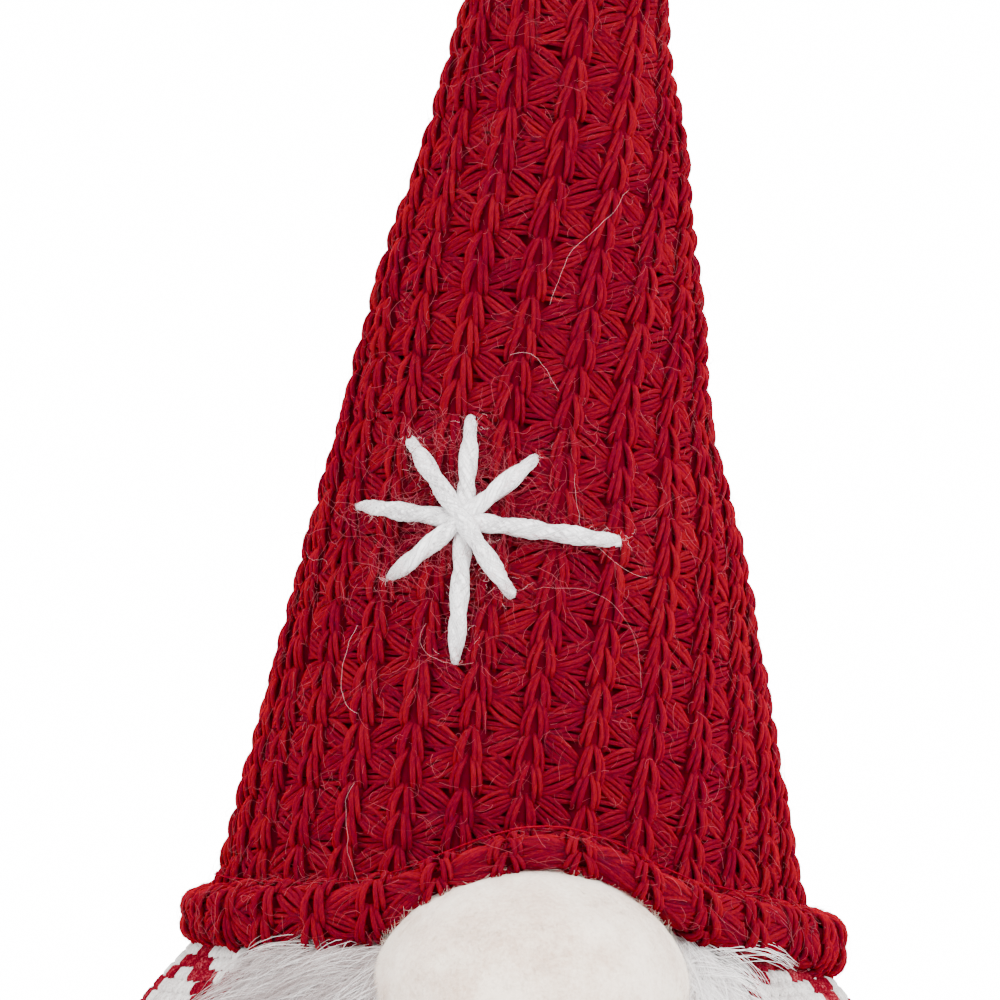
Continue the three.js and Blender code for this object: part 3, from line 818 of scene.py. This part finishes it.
FUZZ_RADIUS = 0.028
STRAY_HAIR_RADIUS = 0.014
HAT_FUZZ_OUT = (-0.9, 0.1)  # where fibres start, from under the outside of the knitting to just over it
BRIM_FUZZ_OUT = (-0.7, 0.2)
BRIM_FUZZ_COUNT = 1000
BRIM_FUZZ_DOWN = 21  # how far round the roll they grow
SEWING_RADIUS = 0.13


def hair_width(steps, radius):
    return radius * (1 - 0.55 * shares(steps))


def scattered_on_hat(random, count, low_z, high_z):
    """Random pattern places on the cone, evenly over its area."""
    angle = random.uniform(-math.pi, math.pi, count * 2)
    z = random.uniform(low_z, high_z, count * 2)
    kept = random.uniform(0, hat_radius(low_z), count * 2) < hat_radius(z)
    kept &= z > brim_middle_z(angle) + 1
    reach = (HAT_APEX_Z - z[kept][:count]) / HAT_COS
    slope = (angle[kept][:count] - WALE_START_ANGLE) * HAT_SIN
    return reach * np.sin(slope), reach * np.cos(slope)


def fuzz_piece(name, fuzz, surface, across, down, out_range, fibre_length, lift):
    """Short red fibres that stand out of the knitting at the given pattern places."""
    place, outward_of = surface
    out = fuzz.random.uniform(*out_range, len(across))
    length = fuzz.random.gamma(3.0, fibre_length, len(across)) + 0.8
    paths = curly_paths(fuzz.random, place, across, down, out, length, 1.6, lift)
    fuzz.add(paths, outward_of(paths), hair_width(paths.shape[1], FUZZ_RADIUS), sides=3)
    return fuzz.piece(name, RED_FUZZ)


def hat_fuzz_piece(name, seed, count, low_z, high_z):
    fuzz = Strands(seed)
    across, down = scattered_on_hat(fuzz.random, count, low_z, high_z)
    return fuzz_piece(name, fuzz, HAT_SURFACE, across, down, HAT_FUZZ_OUT, 0.7, 1.3)


def brim_fuzz_piece():
    fuzz = Strands(510)
    across = fuzz.random.uniform(-math.pi, math.pi, BRIM_FUZZ_COUNT) * BRIM_RING_RADIUS
    down = fuzz.random.uniform(0, BRIM_FUZZ_DOWN, BRIM_FUZZ_COUNT)
    return fuzz_piece("hat_brim_fuzz", fuzz, BRIM_SURFACE, across, down, BRIM_FUZZ_OUT, 0.95, 1.6)


def brim_thread_piece():
    """The fine thread that sews the rolled edge to the hat, along the crease between them."""
    thread = Strands(515)
    angle = np.linspace(0, TURN, 360)
    path = brim_point(angle, BRIM_TOP_TURN - 0.3 + 0.05 * np.sin(31 * angle), 0.75)
    thread.add(path, unit(path * LEVEL), SEWING_RADIUS, sides=5)
    return thread.piece("hat_brim_sewing", RED_THREAD)


def stray_hair_piece(name, seed, count, low_z, high_z):
    """A few long pale hairs that have come away from the beard and lie over the hat."""
    hairs = Strands(seed)
    across, down = scattered_on_hat(hairs.random, count, low_z, high_z)
    out = np.full(len(across), 0.7)
    length = hairs.random.uniform(9, 30, len(across))
    paths = curly_paths(hairs.random, on_hat, across, down, out, length, 1.5, 1.6, steps=18)
    hairs.add(paths, hat_outward(paths), STRAY_HAIR_RADIUS, sides=3)
    return hairs.piece(name, PALE_FUZZ)


# ---------------------------------------------------------------- snowflake

SNOW_PLY_RADIUS = 1.1
SNOW_PLY_OFFSET = 0.36
SNOW_TWIST_LENGTH = 14
SNOW_FIBRES = 16  # round the outside of each ply
SNOW_FIBRE_RADIUS = 0.1
SNOW_FIBRE_REACH = 1.08
SNOW_OUT = 1.1
SNOW_LAYER = 0.75  # each stitch crosses this much over the one before
SNOW_END_DEPTH = 2.6
SNOW_END_SHARE = 0.15
SNOW_CLEAR_SHARE = 0.008  # a stitch starts and ends this share of its length inside its two places
HALO_STEPS = 7
HALO_RADIUS = 0.017


def front_of_hat(x, z, out):
    """A point in front of the hat at a place seen from the front."""
    across = x - hat_axis_x(z)
    reach = hat_radius(z) + out
    return stacked(x, -np.sqrt(np.maximum(reach**2 - across**2, 0)), z)


def along_stitch(start, end, share):
    return start[0] + (end[0] - start[0]) * share, start[1] + (end[1] - start[1]) * share


def snow_stitch(start, end, level, steps=44):
    """The middle line of one laid stitch, whose ends go down into the knit, and its sideways directions."""
    share = np.linspace(SNOW_CLEAR_SHARE, 1 - SNOW_CLEAR_SHARE, steps)
    x, z = along_stitch(start, end, share)
    inside = np.minimum(share - SNOW_CLEAR_SHARE, 1 - SNOW_CLEAR_SHARE - share)
    ends = np.minimum(inside / SNOW_END_SHARE, 1)
    to_middle = np.exp(-(((x - SNOWFLAKE_MIDDLE[0]) ** 2 + (z - SNOWFLAKE_MIDDLE[1]) ** 2) / 60))
    out = SNOW_OUT + level * to_middle - SNOW_END_DEPTH * (1 - ends) ** 2
    line = front_of_hat(x, z, out)
    along = unit(np.gradient(line, axis=0))
    outward = unit(line - hat_axis_point(line[:, 2]))
    across = unit(np.cross(along, outward))
    run = np.concatenate([[0], np.cumsum(np.linalg.norm(np.diff(line, axis=0), axis=1))])
    return line, across, np.cross(across, along), run, ends


def spokes(across, up, turn):
    """Directions square to a line, at angles round it."""
    return across * np.cos(turn)[..., None] + up * np.sin(turn)[..., None]


def snowflake_piece():
    """Four straight stitches of soft two-ply yarn, laid one over the other."""
    yarn = Strands(600)
    for number, (start, end) in enumerate(SNOWFLAKE_STITCHES):
        line, across, up, run, ends = snow_stitch(start, end, SNOW_LAYER * number)
        full = 0.5 + 0.5 * ends**0.7
        for ply in (0, 1):
            turn = run * TURN / SNOW_TWIST_LENGTH + ply * math.pi
            middle = line + SNOW_PLY_OFFSET * full[:, None] * spokes(across, up, turn)
            yarn.add(middle, up, SNOW_PLY_RADIUS * full, sides=10)
            around = turn[None] + np.arange(SNOW_FIBRES)[:, None] * TURN / SNOW_FIBRES
            around = around + yarn.random.normal(0, 0.11, (SNOW_FIBRES, len(run))).cumsum(axis=1)
            reach = (SNOW_FIBRE_REACH * full + yarn.random.normal(0, 0.03, around.shape))[..., None]
            fibres = middle + reach * spokes(across, up, around)
            yarn.add(fibres, up, SNOW_FIBRE_RADIUS * full, sides=4)
    return yarn.piece("snowflake_plies", WHITE_YARN)


def halo_paths(random, count, length, start_out, lift, spread):
    """Loose fibres that leave the snowflake's yarn."""
    paths = []
    for number, (start, end) in enumerate(SNOWFLAKE_STITCHES):
        x, z = along_stitch(start, end, random.uniform(0, 1, count)[:, None])
        heading = random.uniform(0, TURN, (count, 1))
        heading = heading + random.normal(0, 0.45, (count, HALO_STEPS)).cumsum(axis=1)
        size = random.uniform(0.4, 1, (count, 1)) * length / HALO_STEPS
        side = random.normal(0, spread, (count, 1))
        x = x + side + np.cumsum(np.cos(heading) * size, axis=1)
        z = z + side * 0.6 + np.cumsum(np.sin(heading) * size, axis=1)
        rise = lift * random.uniform(-0.5, 1, (count, 1)) * shares(HALO_STEPS)
        paths.append(front_of_hat(x, z, start_out + 0.6 * number + rise))
    return np.concatenate(paths)


def halo_piece(name, seed, radius, material, **spread):
    halo = Strands(seed)
    halo.add(halo_paths(halo.random, **spread), (0, -1, 0), hair_width(HALO_STEPS, radius), sides=3)
    return halo.piece(name, material)


def snowflake_fuzz_pieces():
    """Pale fibres close to the yarn, and red ones pulled up from the knitting over a wider place."""
    near = {"count": 200, "length": 1.9, "start_out": 1.2, "lift": 0.7, "spread": 0.9}
    wide = {"count": 150, "length": 9, "start_out": 0.3, "lift": 0.7, "spread": 3.4}
    white = halo_piece("snowflake_fuzz", 610, HALO_RADIUS, PALE_FUZZ, **near)
    return white, halo_piece("snowflake_red_fuzz", 620, FUZZ_RADIUS, RED_FUZZ, **wide)


# ---------------------------------------------------------------- body

STITCH_COLUMNS = 150
STITCH_ROW = 2.5
BODY_TOP_Z = 122
BODY_KNIT_TOP_Z = 106
BODY_KNIT_FOOT_Z = 3.4
PATTERN_ROWS = 26
LOOP_TOP = -0.85  # how far up and down a stitch's legs go from its own row, in rows
LOOP_LENGTH = 1.6
LOOP_DEPTH = 1.4
LOOP_RISE = 1.2
LOOP_THICKNESS = 0.27  # of the width of a stitch

level_z = np.linspace(0, BODY_TOP_Z, 600)
level_run = np.concatenate([[0], np.cumsum(np.hypot(np.diff(level_z), np.diff(body_radius(level_z))))])


def run_to_z(run):
    """Height of the place on the body's outline that lies a distance up from its foot."""
    return np.interp(run, level_run, level_z)


def z_to_run(z):
    return np.interp(z, level_z, level_run)


def is_red(column, row):
    """Bands of a plain nordic pattern, as stitch columns and rows counted from the top."""
    band = (row - 3) % PATTERN_ROWS
    ten = np.minimum(column % 10, 10 - column % 10)
    six = np.minimum(column % 6, 6 - column % 6)
    twelve = np.minimum(column % 12, 12 - column % 12)
    waves = (band < 5) & (np.abs(band - 0.6 * twelve) < 1.1)
    lines = (band == 5) | (band == 16) | (band == 24)
    diamond = np.abs(band - 10.5) + ten
    diamonds = (band > 5) & (band < 16) & (((diamond > 3) & (diamond < 5)) | (diamond < 1.6))
    zigzag = (band > 17) & (band < 23) & ((band - 18 - six == 0) | (band - 19 - six == 0))
    return waves | lines | diamonds | zigzag


def body_stitches(strands, column, row):
    """The two legs of each stocking stitch, a V that stands in the V of the row below."""
    share = shares(4)
    angle = (column + 0.5)[:, None] * TURN / STITCH_COLUMNS
    run = (z_to_run(BODY_KNIT_TOP_Z) - row * STITCH_ROW)[:, None]
    width = body_radius(run_to_z(run)) * TURN / STITCH_COLUMNS
    z = run_to_z(run + STITCH_ROW * (LOOP_TOP + LOOP_LENGTH * share))
    arch = bell(0.08 + 0.84 * share)
    shape = width * LOOP_THICKNESS * (0.6 + 0.4 * arch)
    for side in (-1, 1):
        x = side * width * (0.04 + 0.4 * share**0.8)
        out = -LOOP_DEPTH + LOOP_RISE * arch + strands.random.normal(0, 0.07, (len(column), 1))
        paths = body_point(angle + x / body_radius(z), z, out)
        outward = body_point(angle + x / body_radius(z), z, out + 1) - paths
        strands.add(paths, outward, shape, sides=4, twist_length=4)


def body_pieces():
    """The knitted cover in its two colours. Nothing is knitted where the beard hides it."""
    rows = int((z_to_run(BODY_KNIT_TOP_Z) - z_to_run(BODY_KNIT_FOOT_Z)) / STITCH_ROW)
    stitches = np.meshgrid(np.arange(STITCH_COLUMNS), np.arange(rows), indexing="ij")
    column, row = (grid.ravel() for grid in stitches)
    angle = (column + 0.5) * TURN / STITCH_COLUMNS
    z = run_to_z(z_to_run(BODY_KNIT_TOP_Z) - row * STITCH_ROW)
    x = body_radius(z) * np.sin(angle)
    shown = (np.cos(angle) <= 0) | (np.abs(x) >= beard_half_width(z) - 9)
    red = is_red(column, row)
    made = []
    for name, chosen, material in (("red", red, RED_CLOTH), ("white", ~red, WHITE_CLOTH)):
        kept = chosen & shown
        strands = Strands(700 + len(made))
        body_stitches(strands, column[kept], row[kept])
        made.append(strands.piece(f"body_stitches_{name}", material))
    return made


def body_backing():
    """The backs of the body's stitches."""
    z, angle = grid_round(2.4, BODY_TOP_Z - 2, 60, 120)
    points = body_point(angle, z, -1.3)
    points += unit(points * LEVEL) * 0.15 * ripple(points, 6, 9)[..., None]
    return grid_piece("body_backing", points, WHITE_CLOTH)


# ---------------------------------------------------------------- beard

# The outline's side is a curve from the first point to the last, pulled towards the two between.
BEARD_OUTLINE = ((BEARD_TOP_HALF_WIDTH, BEARD_TOP_Z), (55, 70), (33, 34), (4, BEARD_TIP_Z))
HAIR_LOWEST_Z = 0.6
HAIR_STEPS = 7
HAIR_ROOT_OUT = 2.2
STEEPEST = 1.3  # the furthest that hair turns from straight down


def beard_half_width(z):
    share = np.linspace(1, 0, 40)
    rest = 1 - share
    weights = np.stack([rest**3, 3 * rest**2 * share, 3 * rest * share**2, share**3])
    outline_x, outline_z = np.array(BEARD_OUTLINE, float).T @ weights
    return np.interp(z, outline_z, outline_x)


def beard_patch(name, inner, outer, inset, rough, material, seed):
    """A closed layer over the beard's outline, between two distances from the body."""
    rows = np.linspace(BEARD_TIP_Z + inset, BEARD_TOP_Z + 1, 70)
    across = np.linspace(-1, 1, 60)
    z = rows[:, None]
    half = (beard_half_width(z) - inset) * (0.74 + 0.26 * np.clip((BEARD_TOP_Z - z) / 24, 0, 1))
    angle = np.arcsin(np.clip(half * across / (body_radius(z) + outer), -1, 1))
    under_brim_share = np.clip((BEARD_TOP_Z + 1 - z) / 40, 0, 1) ** 1.4
    edge = (1 - np.abs(across) ** 6) * np.minimum(1, (z - rows[0]) / 10) ** 0.5 * under_brim_share
    front = body_point(angle, z, inner + (outer - inner) * edge)
    streaks = ripple(front * (1, 1, 0.22), 2.6, seed) + 0.6 * ripple(front * (1, 1, 0.3), 7, seed + 1)
    front += unit(front * LEVEL) * (rough * streaks * edge)[..., None]
    back = body_point(angle[:, ::-1], z, inner)
    front[-1] = back[-1, ::-1]
    return weld(grid_piece(name, np.concatenate([front, back], axis=1), material))


def hair_field(x, z):
    """Which way the fur is brushed at a place: down, and away from the nose, mostly on the left."""
    left = 1.1 * np.tanh((x - NOSE_CENTRE[0]) / 26)
    right = 0.5 * np.tanh((x - 36) / 10)
    return np.where(x < NOSE_CENTRE[0], left, right) * np.exp(-(BEARD_TOP_Z - z) / 45)


def beard_roots(random, count, low_z, high_z):
    z = random.uniform(low_z, high_z, count * 4)
    x = random.uniform(-1, 1, count * 4) * (BEARD_TOP_HALF_WIDTH + 3)
    beside_nose = np.hypot(x - NOSE_CENTRE[0], z - NOSE_CENTRE[2]) > 17
    half = np.minimum(beard_half_width(z) - 3, 31 + 0.5 * (BEARD_TOP_Z - z))
    kept = (np.abs(x) < half) & (beside_nose | (z < 84))
    return x[kept][:count], z[kept][:count]


def beard_hair_piece(name, seed, clumps, hairs, length_range, lift_range, radius, root_range, mess=0.22):
    """Long fur in loose locks that draw together towards their ends."""
    fur = Strands(seed)
    random = fur.random
    steps = HAIR_STEPS
    share = shares(steps)
    root_x, root_z = beard_roots(random, clumps, *root_range)
    clumps = len(root_x)
    below_brim = np.clip((BEARD_TOP_Z - root_z) / 26, 0, 1)[:, None]
    length = random.uniform(*length_range, (clumps, 1)) * (0.55 + 0.45 * below_brim)
    brushed = hair_field(root_x, root_z)[:, None] + random.normal(0, mess, (clumps, 1))
    wander = random.normal(0, 0.09, (clumps, steps)).cumsum(axis=1)
    heading = np.clip(brushed, -STEEPEST, STEEPEST) * (1 - 0.45 * share) + wander
    step = length / (steps - 1)
    run = z_to_run(root_z)[:, None] - np.cumsum(np.cos(heading) * step, axis=1) + step
    run = np.maximum(run, z_to_run(5) + random.uniform(0, 6, (clumps, 1)))
    side = np.cumsum(np.sin(heading) * step, axis=1)
    start = np.arcsin(root_x / (body_radius(root_z) + 2))[:, None]
    lift = random.uniform(*lift_range, (clumps, 1)) * (0.5 + 0.5 * below_brim)
    out = HAIR_ROOT_OUT + lift * (1 - (1 - share) ** 2.2) - 0.8 * share**3
    together = 1 - 0.72 * share**1.3
    shape = (clumps, hairs, 1)
    far_x = random.normal(0, 1.5, shape) * together
    far_run = random.normal(0, 1.7, shape) * together
    waver = random.normal(0, 0.12, (clumps, hairs, steps)).cumsum(axis=2)
    own_run = np.maximum(run[:, None] + far_run + waver, z_to_run(4.5))
    z = run_to_z(own_run)
    angle = start[:, None] + (side[:, None] + far_x + waver) / body_radius(z)
    own_out = out[:, None] * random.uniform(0.8, 1.15, shape) + random.normal(0, 0.25, shape)
    paths = body_point(angle, z, np.maximum(own_out, 2.0)).reshape(-1, steps, 3)
    paths[..., 2] = np.maximum(paths[..., 2], HAIR_LOWEST_Z)
    fur.add(paths, unit(paths * LEVEL), radius * (1 - 0.7 * share**2), sides=3)
    return fur.piece(name, WHITE_FUR)


# ---------------------------------------------------------------- nose

NOSE_FUZZ_COUNT = 5200
NOSE_FUZZ_STEPS = 5
NOSE_FUZZ_RADIUS = 0.022


def nose_height(up):
    """The ball's half height, smaller above its middle than below."""
    return np.where(up > 0, NOSE_TOP_RADIUS, NOSE_RADIUS)


def nose_piece():
    """The felt ball, pressed flatter above by the hat and flat behind against the body."""
    rise = np.linspace(-math.pi / 2, math.pi / 2, 150)
    turn = np.linspace(0, TURN, 220, endpoint=False)
    up, around = np.meshgrid(rise, turn, indexing="ij")
    ball = stacked(np.cos(up) * np.sin(around), -np.cos(up) * np.cos(around), np.sin(up))
    points = NOSE_CENTRE + ball * stacked(NOSE_RADIUS, NOSE_RADIUS, nose_height(ball[..., 2]))
    points += ball * (0.3 * ripple(points, 17, 11) + 0.07 * ripple(points, 2.4, 12))[..., None]
    reach = np.hypot(points[..., 0], points[..., 1])
    wall = body_radius(points[..., 2]) + NOSE_STANDOFF
    pushed = np.maximum(reach, wall) / np.maximum(reach, 1e-6)
    points[..., :2] *= pushed[..., None]
    return grid_piece("nose_felt", points, CREAM_FELT)


def nose_fuzz_piece():
    """Short fibres that stand up from the front of the felt and lean along it."""
    fuzz = Strands(800)
    many = (NOSE_FUZZ_COUNT, 1, 1)
    ball = unit(fuzz.random.normal(size=(NOSE_FUZZ_COUNT, 3)))
    ball[:, 1] = -np.abs(ball[:, 1])
    root = NOSE_CENTRE + ball * stacked(NOSE_RADIUS, NOSE_RADIUS, nose_height(ball[:, 2]))
    drift = unit(np.cross(ball, fuzz.random.normal(size=(NOSE_FUZZ_COUNT, 3))))[:, None]
    length = fuzz.random.uniform(0.6, 2.6, many)
    lean = fuzz.random.uniform(0.05, 0.6, many)
    share = shares(NOSE_FUZZ_STEPS)[None, :, None]
    outward = ball[:, None]
    paths = root[:, None] - 0.1 * outward + drift * share * length + outward * share**1.5 * length * lean
    fuzz.add(paths, outward, hair_width(NOSE_FUZZ_STEPS, NOSE_FUZZ_RADIUS), sides=3)
    return fuzz.piece("nose_fuzz", CREAM_FELT)


# ---------------------------------------------------------------- base

WHIP_STITCHES = 96
WHIP_RADIUS = 0.32


def base_piece():
    """The felt disc under the figure, with a softly rounded edge."""
    rings = (0, 20, 40)
    edge = [(BASE_RADIUS - 0.8, 0), (BASE_RADIUS, 0.7), (BASE_RADIUS, 1.4)]
    top = [(ring, FELT_THICKNESS) for ring in (BASE_RADIUS - 0.6, *reversed(rings))]
    profile = [(ring, 0) for ring in rings] + edge + top
    radius, z = np.array(profile, float).T[:, :, None]
    angle = np.linspace(0, TURN, 160, endpoint=False)
    wobble = 1 + 0.004 * np.sin(5 * angle) + 0.002 * np.sin(13 * angle + 1)
    return grid_piece("base_felt_disc", round_axis(radius * wobble, angle, z), RED_FELT)


def base_thread_piece():
    """Slanting whip stitches that hold the cover to the base's edge."""
    thread = Strands(810)
    share = shares(8)
    angle = np.linspace(0, TURN, WHIP_STITCHES, endpoint=False)[:, None] + 0.018 * share
    radius = BASE_RADIUS - 1.6 + 3.2 * bell(0.1 + 0.75 * share)
    z = 0.45 + 3.1 * share
    paths = round_axis(radius, angle, z)
    thread.add(paths, unit(paths * LEVEL), WHIP_RADIUS, sides=5)
    return thread.piece("base_whip_stitches", RED_THREAD)


# ---------------------------------------------------------------- the whole figure


def on_torso(slot, *pieces):
    for piece in pieces:
        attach(piece, "torso")


def bend_lower(slot, *pieces):
    start, end = (tuple(hat_axis_point(z) * MM) for z in LOWER_BEND)
    for piece in pieces:
        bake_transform(piece)
        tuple(start)
        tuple(end)


def bend_upper(slot, *pieces):
    start, end = (tuple(hat_axis_point(z) * MM) for z in UPPER_BEND)
    for piece in pieces:
        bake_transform(piece)
        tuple(start)
        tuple(end)


def make_hat():
    knit = knit_hat_pieces()
    bend_lower(
        "red_knit",
        *knit["front_lower"],
        *knit["back_lower"],
        under_knit("hat_lining_lower", HAT_FOOT_Z - 2, SPLIT_Z),
        hat_fuzz_piece("hat_fuzz_lower", 500, 4400, HAT_FOOT_Z, SPLIT_Z),
    )
    bend_upper(
        "red_knit",
        *knit["upper"],
        under_knit("hat_lining_upper", SPLIT_Z, HAT_TOP_Z - 4),
        hat_fuzz_piece("hat_fuzz_upper", 501, 1000, SPLIT_Z, HAT_TOP_Z - 4),
    )
    bend_lower("white_fur", stray_hair_piece("hat_stray_hairs_lower", 520, 18, 118, 214))
    bend_upper("white_fur", stray_hair_piece("hat_stray_hairs_upper", 521, 6, 246, 276))
    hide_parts("hat_knit_lower")
    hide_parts("hat_knit_middle", "hat_knit_tip")

    brim = brim_piece()
    on_torso("red_knit", brim, under_brim(), brim_fuzz_piece())
    on_torso("red_thread", brim_thread_piece())
    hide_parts("hat_brim")
    gather, winding = tip_pieces()
    bend_upper("red_knit", gather)
    bend_upper("red_thread", winding)
    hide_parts("hat_tip_tie")


def make_hat_inside():
    """The stuffing, the wire and the yarn of the back seam, each in two lengths split at one height."""
    insides = (
        ("hat_filling", hat_filling, HAT_FOOT_Z + 2, HAT_TOP_Z - 8, "polyester_stuffing", "hat_stuffing"),
        ("hat_wire_run", wire_piece, WIRE_FOOT_Z, WIRE_TOP_Z, "steel_wire", "hat_wire"),
        ("hat_seam", seam_piece, SEAM_FOOT_Z, SEAM_TOP_Z, "red_thread", "hat_seam_yarn"),
    )
    for name, make, low_z, high_z, slot, node in insides:
        lower = make(f"{name}_lower", low_z, SPLIT_Z)
        upper = make(f"{name}_upper", SPLIT_Z, high_z)
        bend_lower(slot, lower)
        bend_upper(slot, upper)
        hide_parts(f"{node}_lower")
        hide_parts(f"{node}_middle", f"{node}_tip")


def make_snowflake():
    plies = snowflake_piece()
    on_torso("white_yarn", plies, *snowflake_fuzz_pieces())
    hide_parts("snowflake_yarn")


def make_body():
    red, white = body_pieces()
    backing = body_backing()
    on_torso("patterned_cloth", red, white, backing)
    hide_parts("body_cover")
    base = base_piece()
    whip = base_thread_piece()
    on_torso("red_felt", base)
    on_torso("red_thread", whip)
    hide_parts("base_felt")
    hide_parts("base_seam_thread")


def make_beard():
    backing = beard_patch("beard_cloth", 0.3, 1.9, 4, 0.0, WHITE_CLOTH, 20)
    pile = beard_patch("beard_underfur", 2.2, 6.4, 1, 0.55, WHITE_FUR, 21)
    under = beard_hair_piece("beard_fur_under", 900, 210, 16, (16, 26), (2.5, 4.5), 0.13, (24, 88))
    outer = beard_hair_piece("beard_fur_outer", 901, 290, 16, (24, 38), (4.5, 7.5), 0.1, (24, 90))
    loose = beard_hair_piece("beard_fur_loose", 902, 240, 8, (26, 42), (5.0, 8.5), 0.06, (24, 96), 0.35)
    upper = beard_hair_piece("beard_fur_upper", 903, 270, 18, (13, 26), (2.0, 6.0), 0.042, (79, 101), 0.45)
    wisps = beard_hair_piece("beard_fur_wisps", 904, 330, 12, (7, 17), (2.5, 5.5), 0.036, (80, 100), 0.6)
    on_torso("white_fur", backing, pile, under, outer, loose, upper, wisps)
    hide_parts("beard_backing")
    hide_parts("beard_pile")


def make_nose():
    felt = nose_piece()
    on_torso("cream_felt", felt, nose_fuzz_piece())
    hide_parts("nose_cover")


def finish_hidden_pieces():
    """Materials for the solid pieces inside the figure, which stay as they are."""
    looks = {
        "base_board": CARD,
        "weight_pouch": POUCH_COTTON,
        "pellet_fill": PELLETS,
        "pouch_tie": THREAD,
        "body_stuffing": STUFFING,
        "neck_tie": THREAD,
        "nose_stuffing": STUFFING,
        "nose_gather_thread": THREAD,
    }
    for node, material in looks.items():
        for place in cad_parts[node].material_slots:
            place.material = material


CAMERA_SENSOR_WIDTH = 36
CAMERA_DISTANCE = 1500
CAMERA_SHOWN_WIDTH = 155
CAMERA_X = 0.7
CAMERA_Z = 169.75
WORLD_STRENGTH = 2.1
BACKDROP_STRENGTH = 20
LIT_PLACE_Z = 150  # the lamps point here
FLOOR_HALF_WIDTH = 1500


def make_camera():
    data = bpy.data.cameras.new("camera")
    data.sensor_width = CAMERA_SENSOR_WIDTH
    data.lens = CAMERA_SENSOR_WIDTH * CAMERA_DISTANCE / CAMERA_SHOWN_WIDTH
    camera = placed_object("camera", data)
    camera.location = (CAMERA_X * MM, -CAMERA_DISTANCE * MM, CAMERA_Z * MM)
    camera.rotation_euler = (math.pi / 2, 0, 0)
    bpy.context.scene.camera = camera


def add_lamp(name, place, size, power):
    data = bpy.data.lights.new(name, "AREA")
    data.size = size * MM
    data.energy = power
    lamp = placed_object(name, data)
    lamp.location = [v * MM for v in place]
    towards = Vector((0, 0, LIT_PLACE_Z * MM)) - lamp.location
    lamp.rotation_euler = towards.to_track_quat("-Z", "Y").to_euler()


def make_light():
    world = bpy.data.worlds.new("studio")
    bpy.context.scene.world = world
    world.use_nodes = True
    nodes = world.node_tree.nodes
    background = nodes["Background"]
    background.inputs["Color"].default_value = (1, 1, 1, 1)
    background.inputs["Strength"].default_value = WORLD_STRENGTH
    bright = nodes.new("ShaderNodeBackground")
    bright.inputs["Strength"].default_value = BACKDROP_STRENGTH
    seen = nodes.new("ShaderNodeLightPath")
    chosen = nodes.new("ShaderNodeMixShader")
    links = world.node_tree.links
    links.new(seen.outputs["Is Camera Ray"], chosen.inputs[0])
    links.new(background.outputs[0], chosen.inputs[1])
    links.new(bright.outputs[0], chosen.inputs[2])
    links.new(chosen.outputs[0], nodes["World Output"].inputs["Surface"])
    add_lamp("key", (1300, -2300, 1500), 2200, 205)
    add_lamp("fill", (-1900, -1900, 900), 2200, 62)
    add_lamp("top", (0, 600, 2600), 2000, 70)


def make_floor():
    sides = ((-1, -1), (1, -1), (1, 1), (-1, 1))
    corners = np.array([[x * FLOOR_HALF_WIDTH, y * FLOOR_HALF_WIDTH, 0] for x, y in sides], float)
    look = Look("floor", 0.9)
    grain = look.noise(look.place(), 40.0, 2.0)
    look.colour(look.ramp(grain, [(0.3, (0.84, 0.84, 0.84)), (0.7, (0.88, 0.88, 0.88))]))
    mesh_piece("floor", corners, np.array([[0, 1, 2, 3]]), look.material)


make_camera()
make_light()
make_floor()
make_hat()
make_hat_inside()
make_snowflake()
make_body()
make_beard()
make_nose()
finish_hidden_pieces()
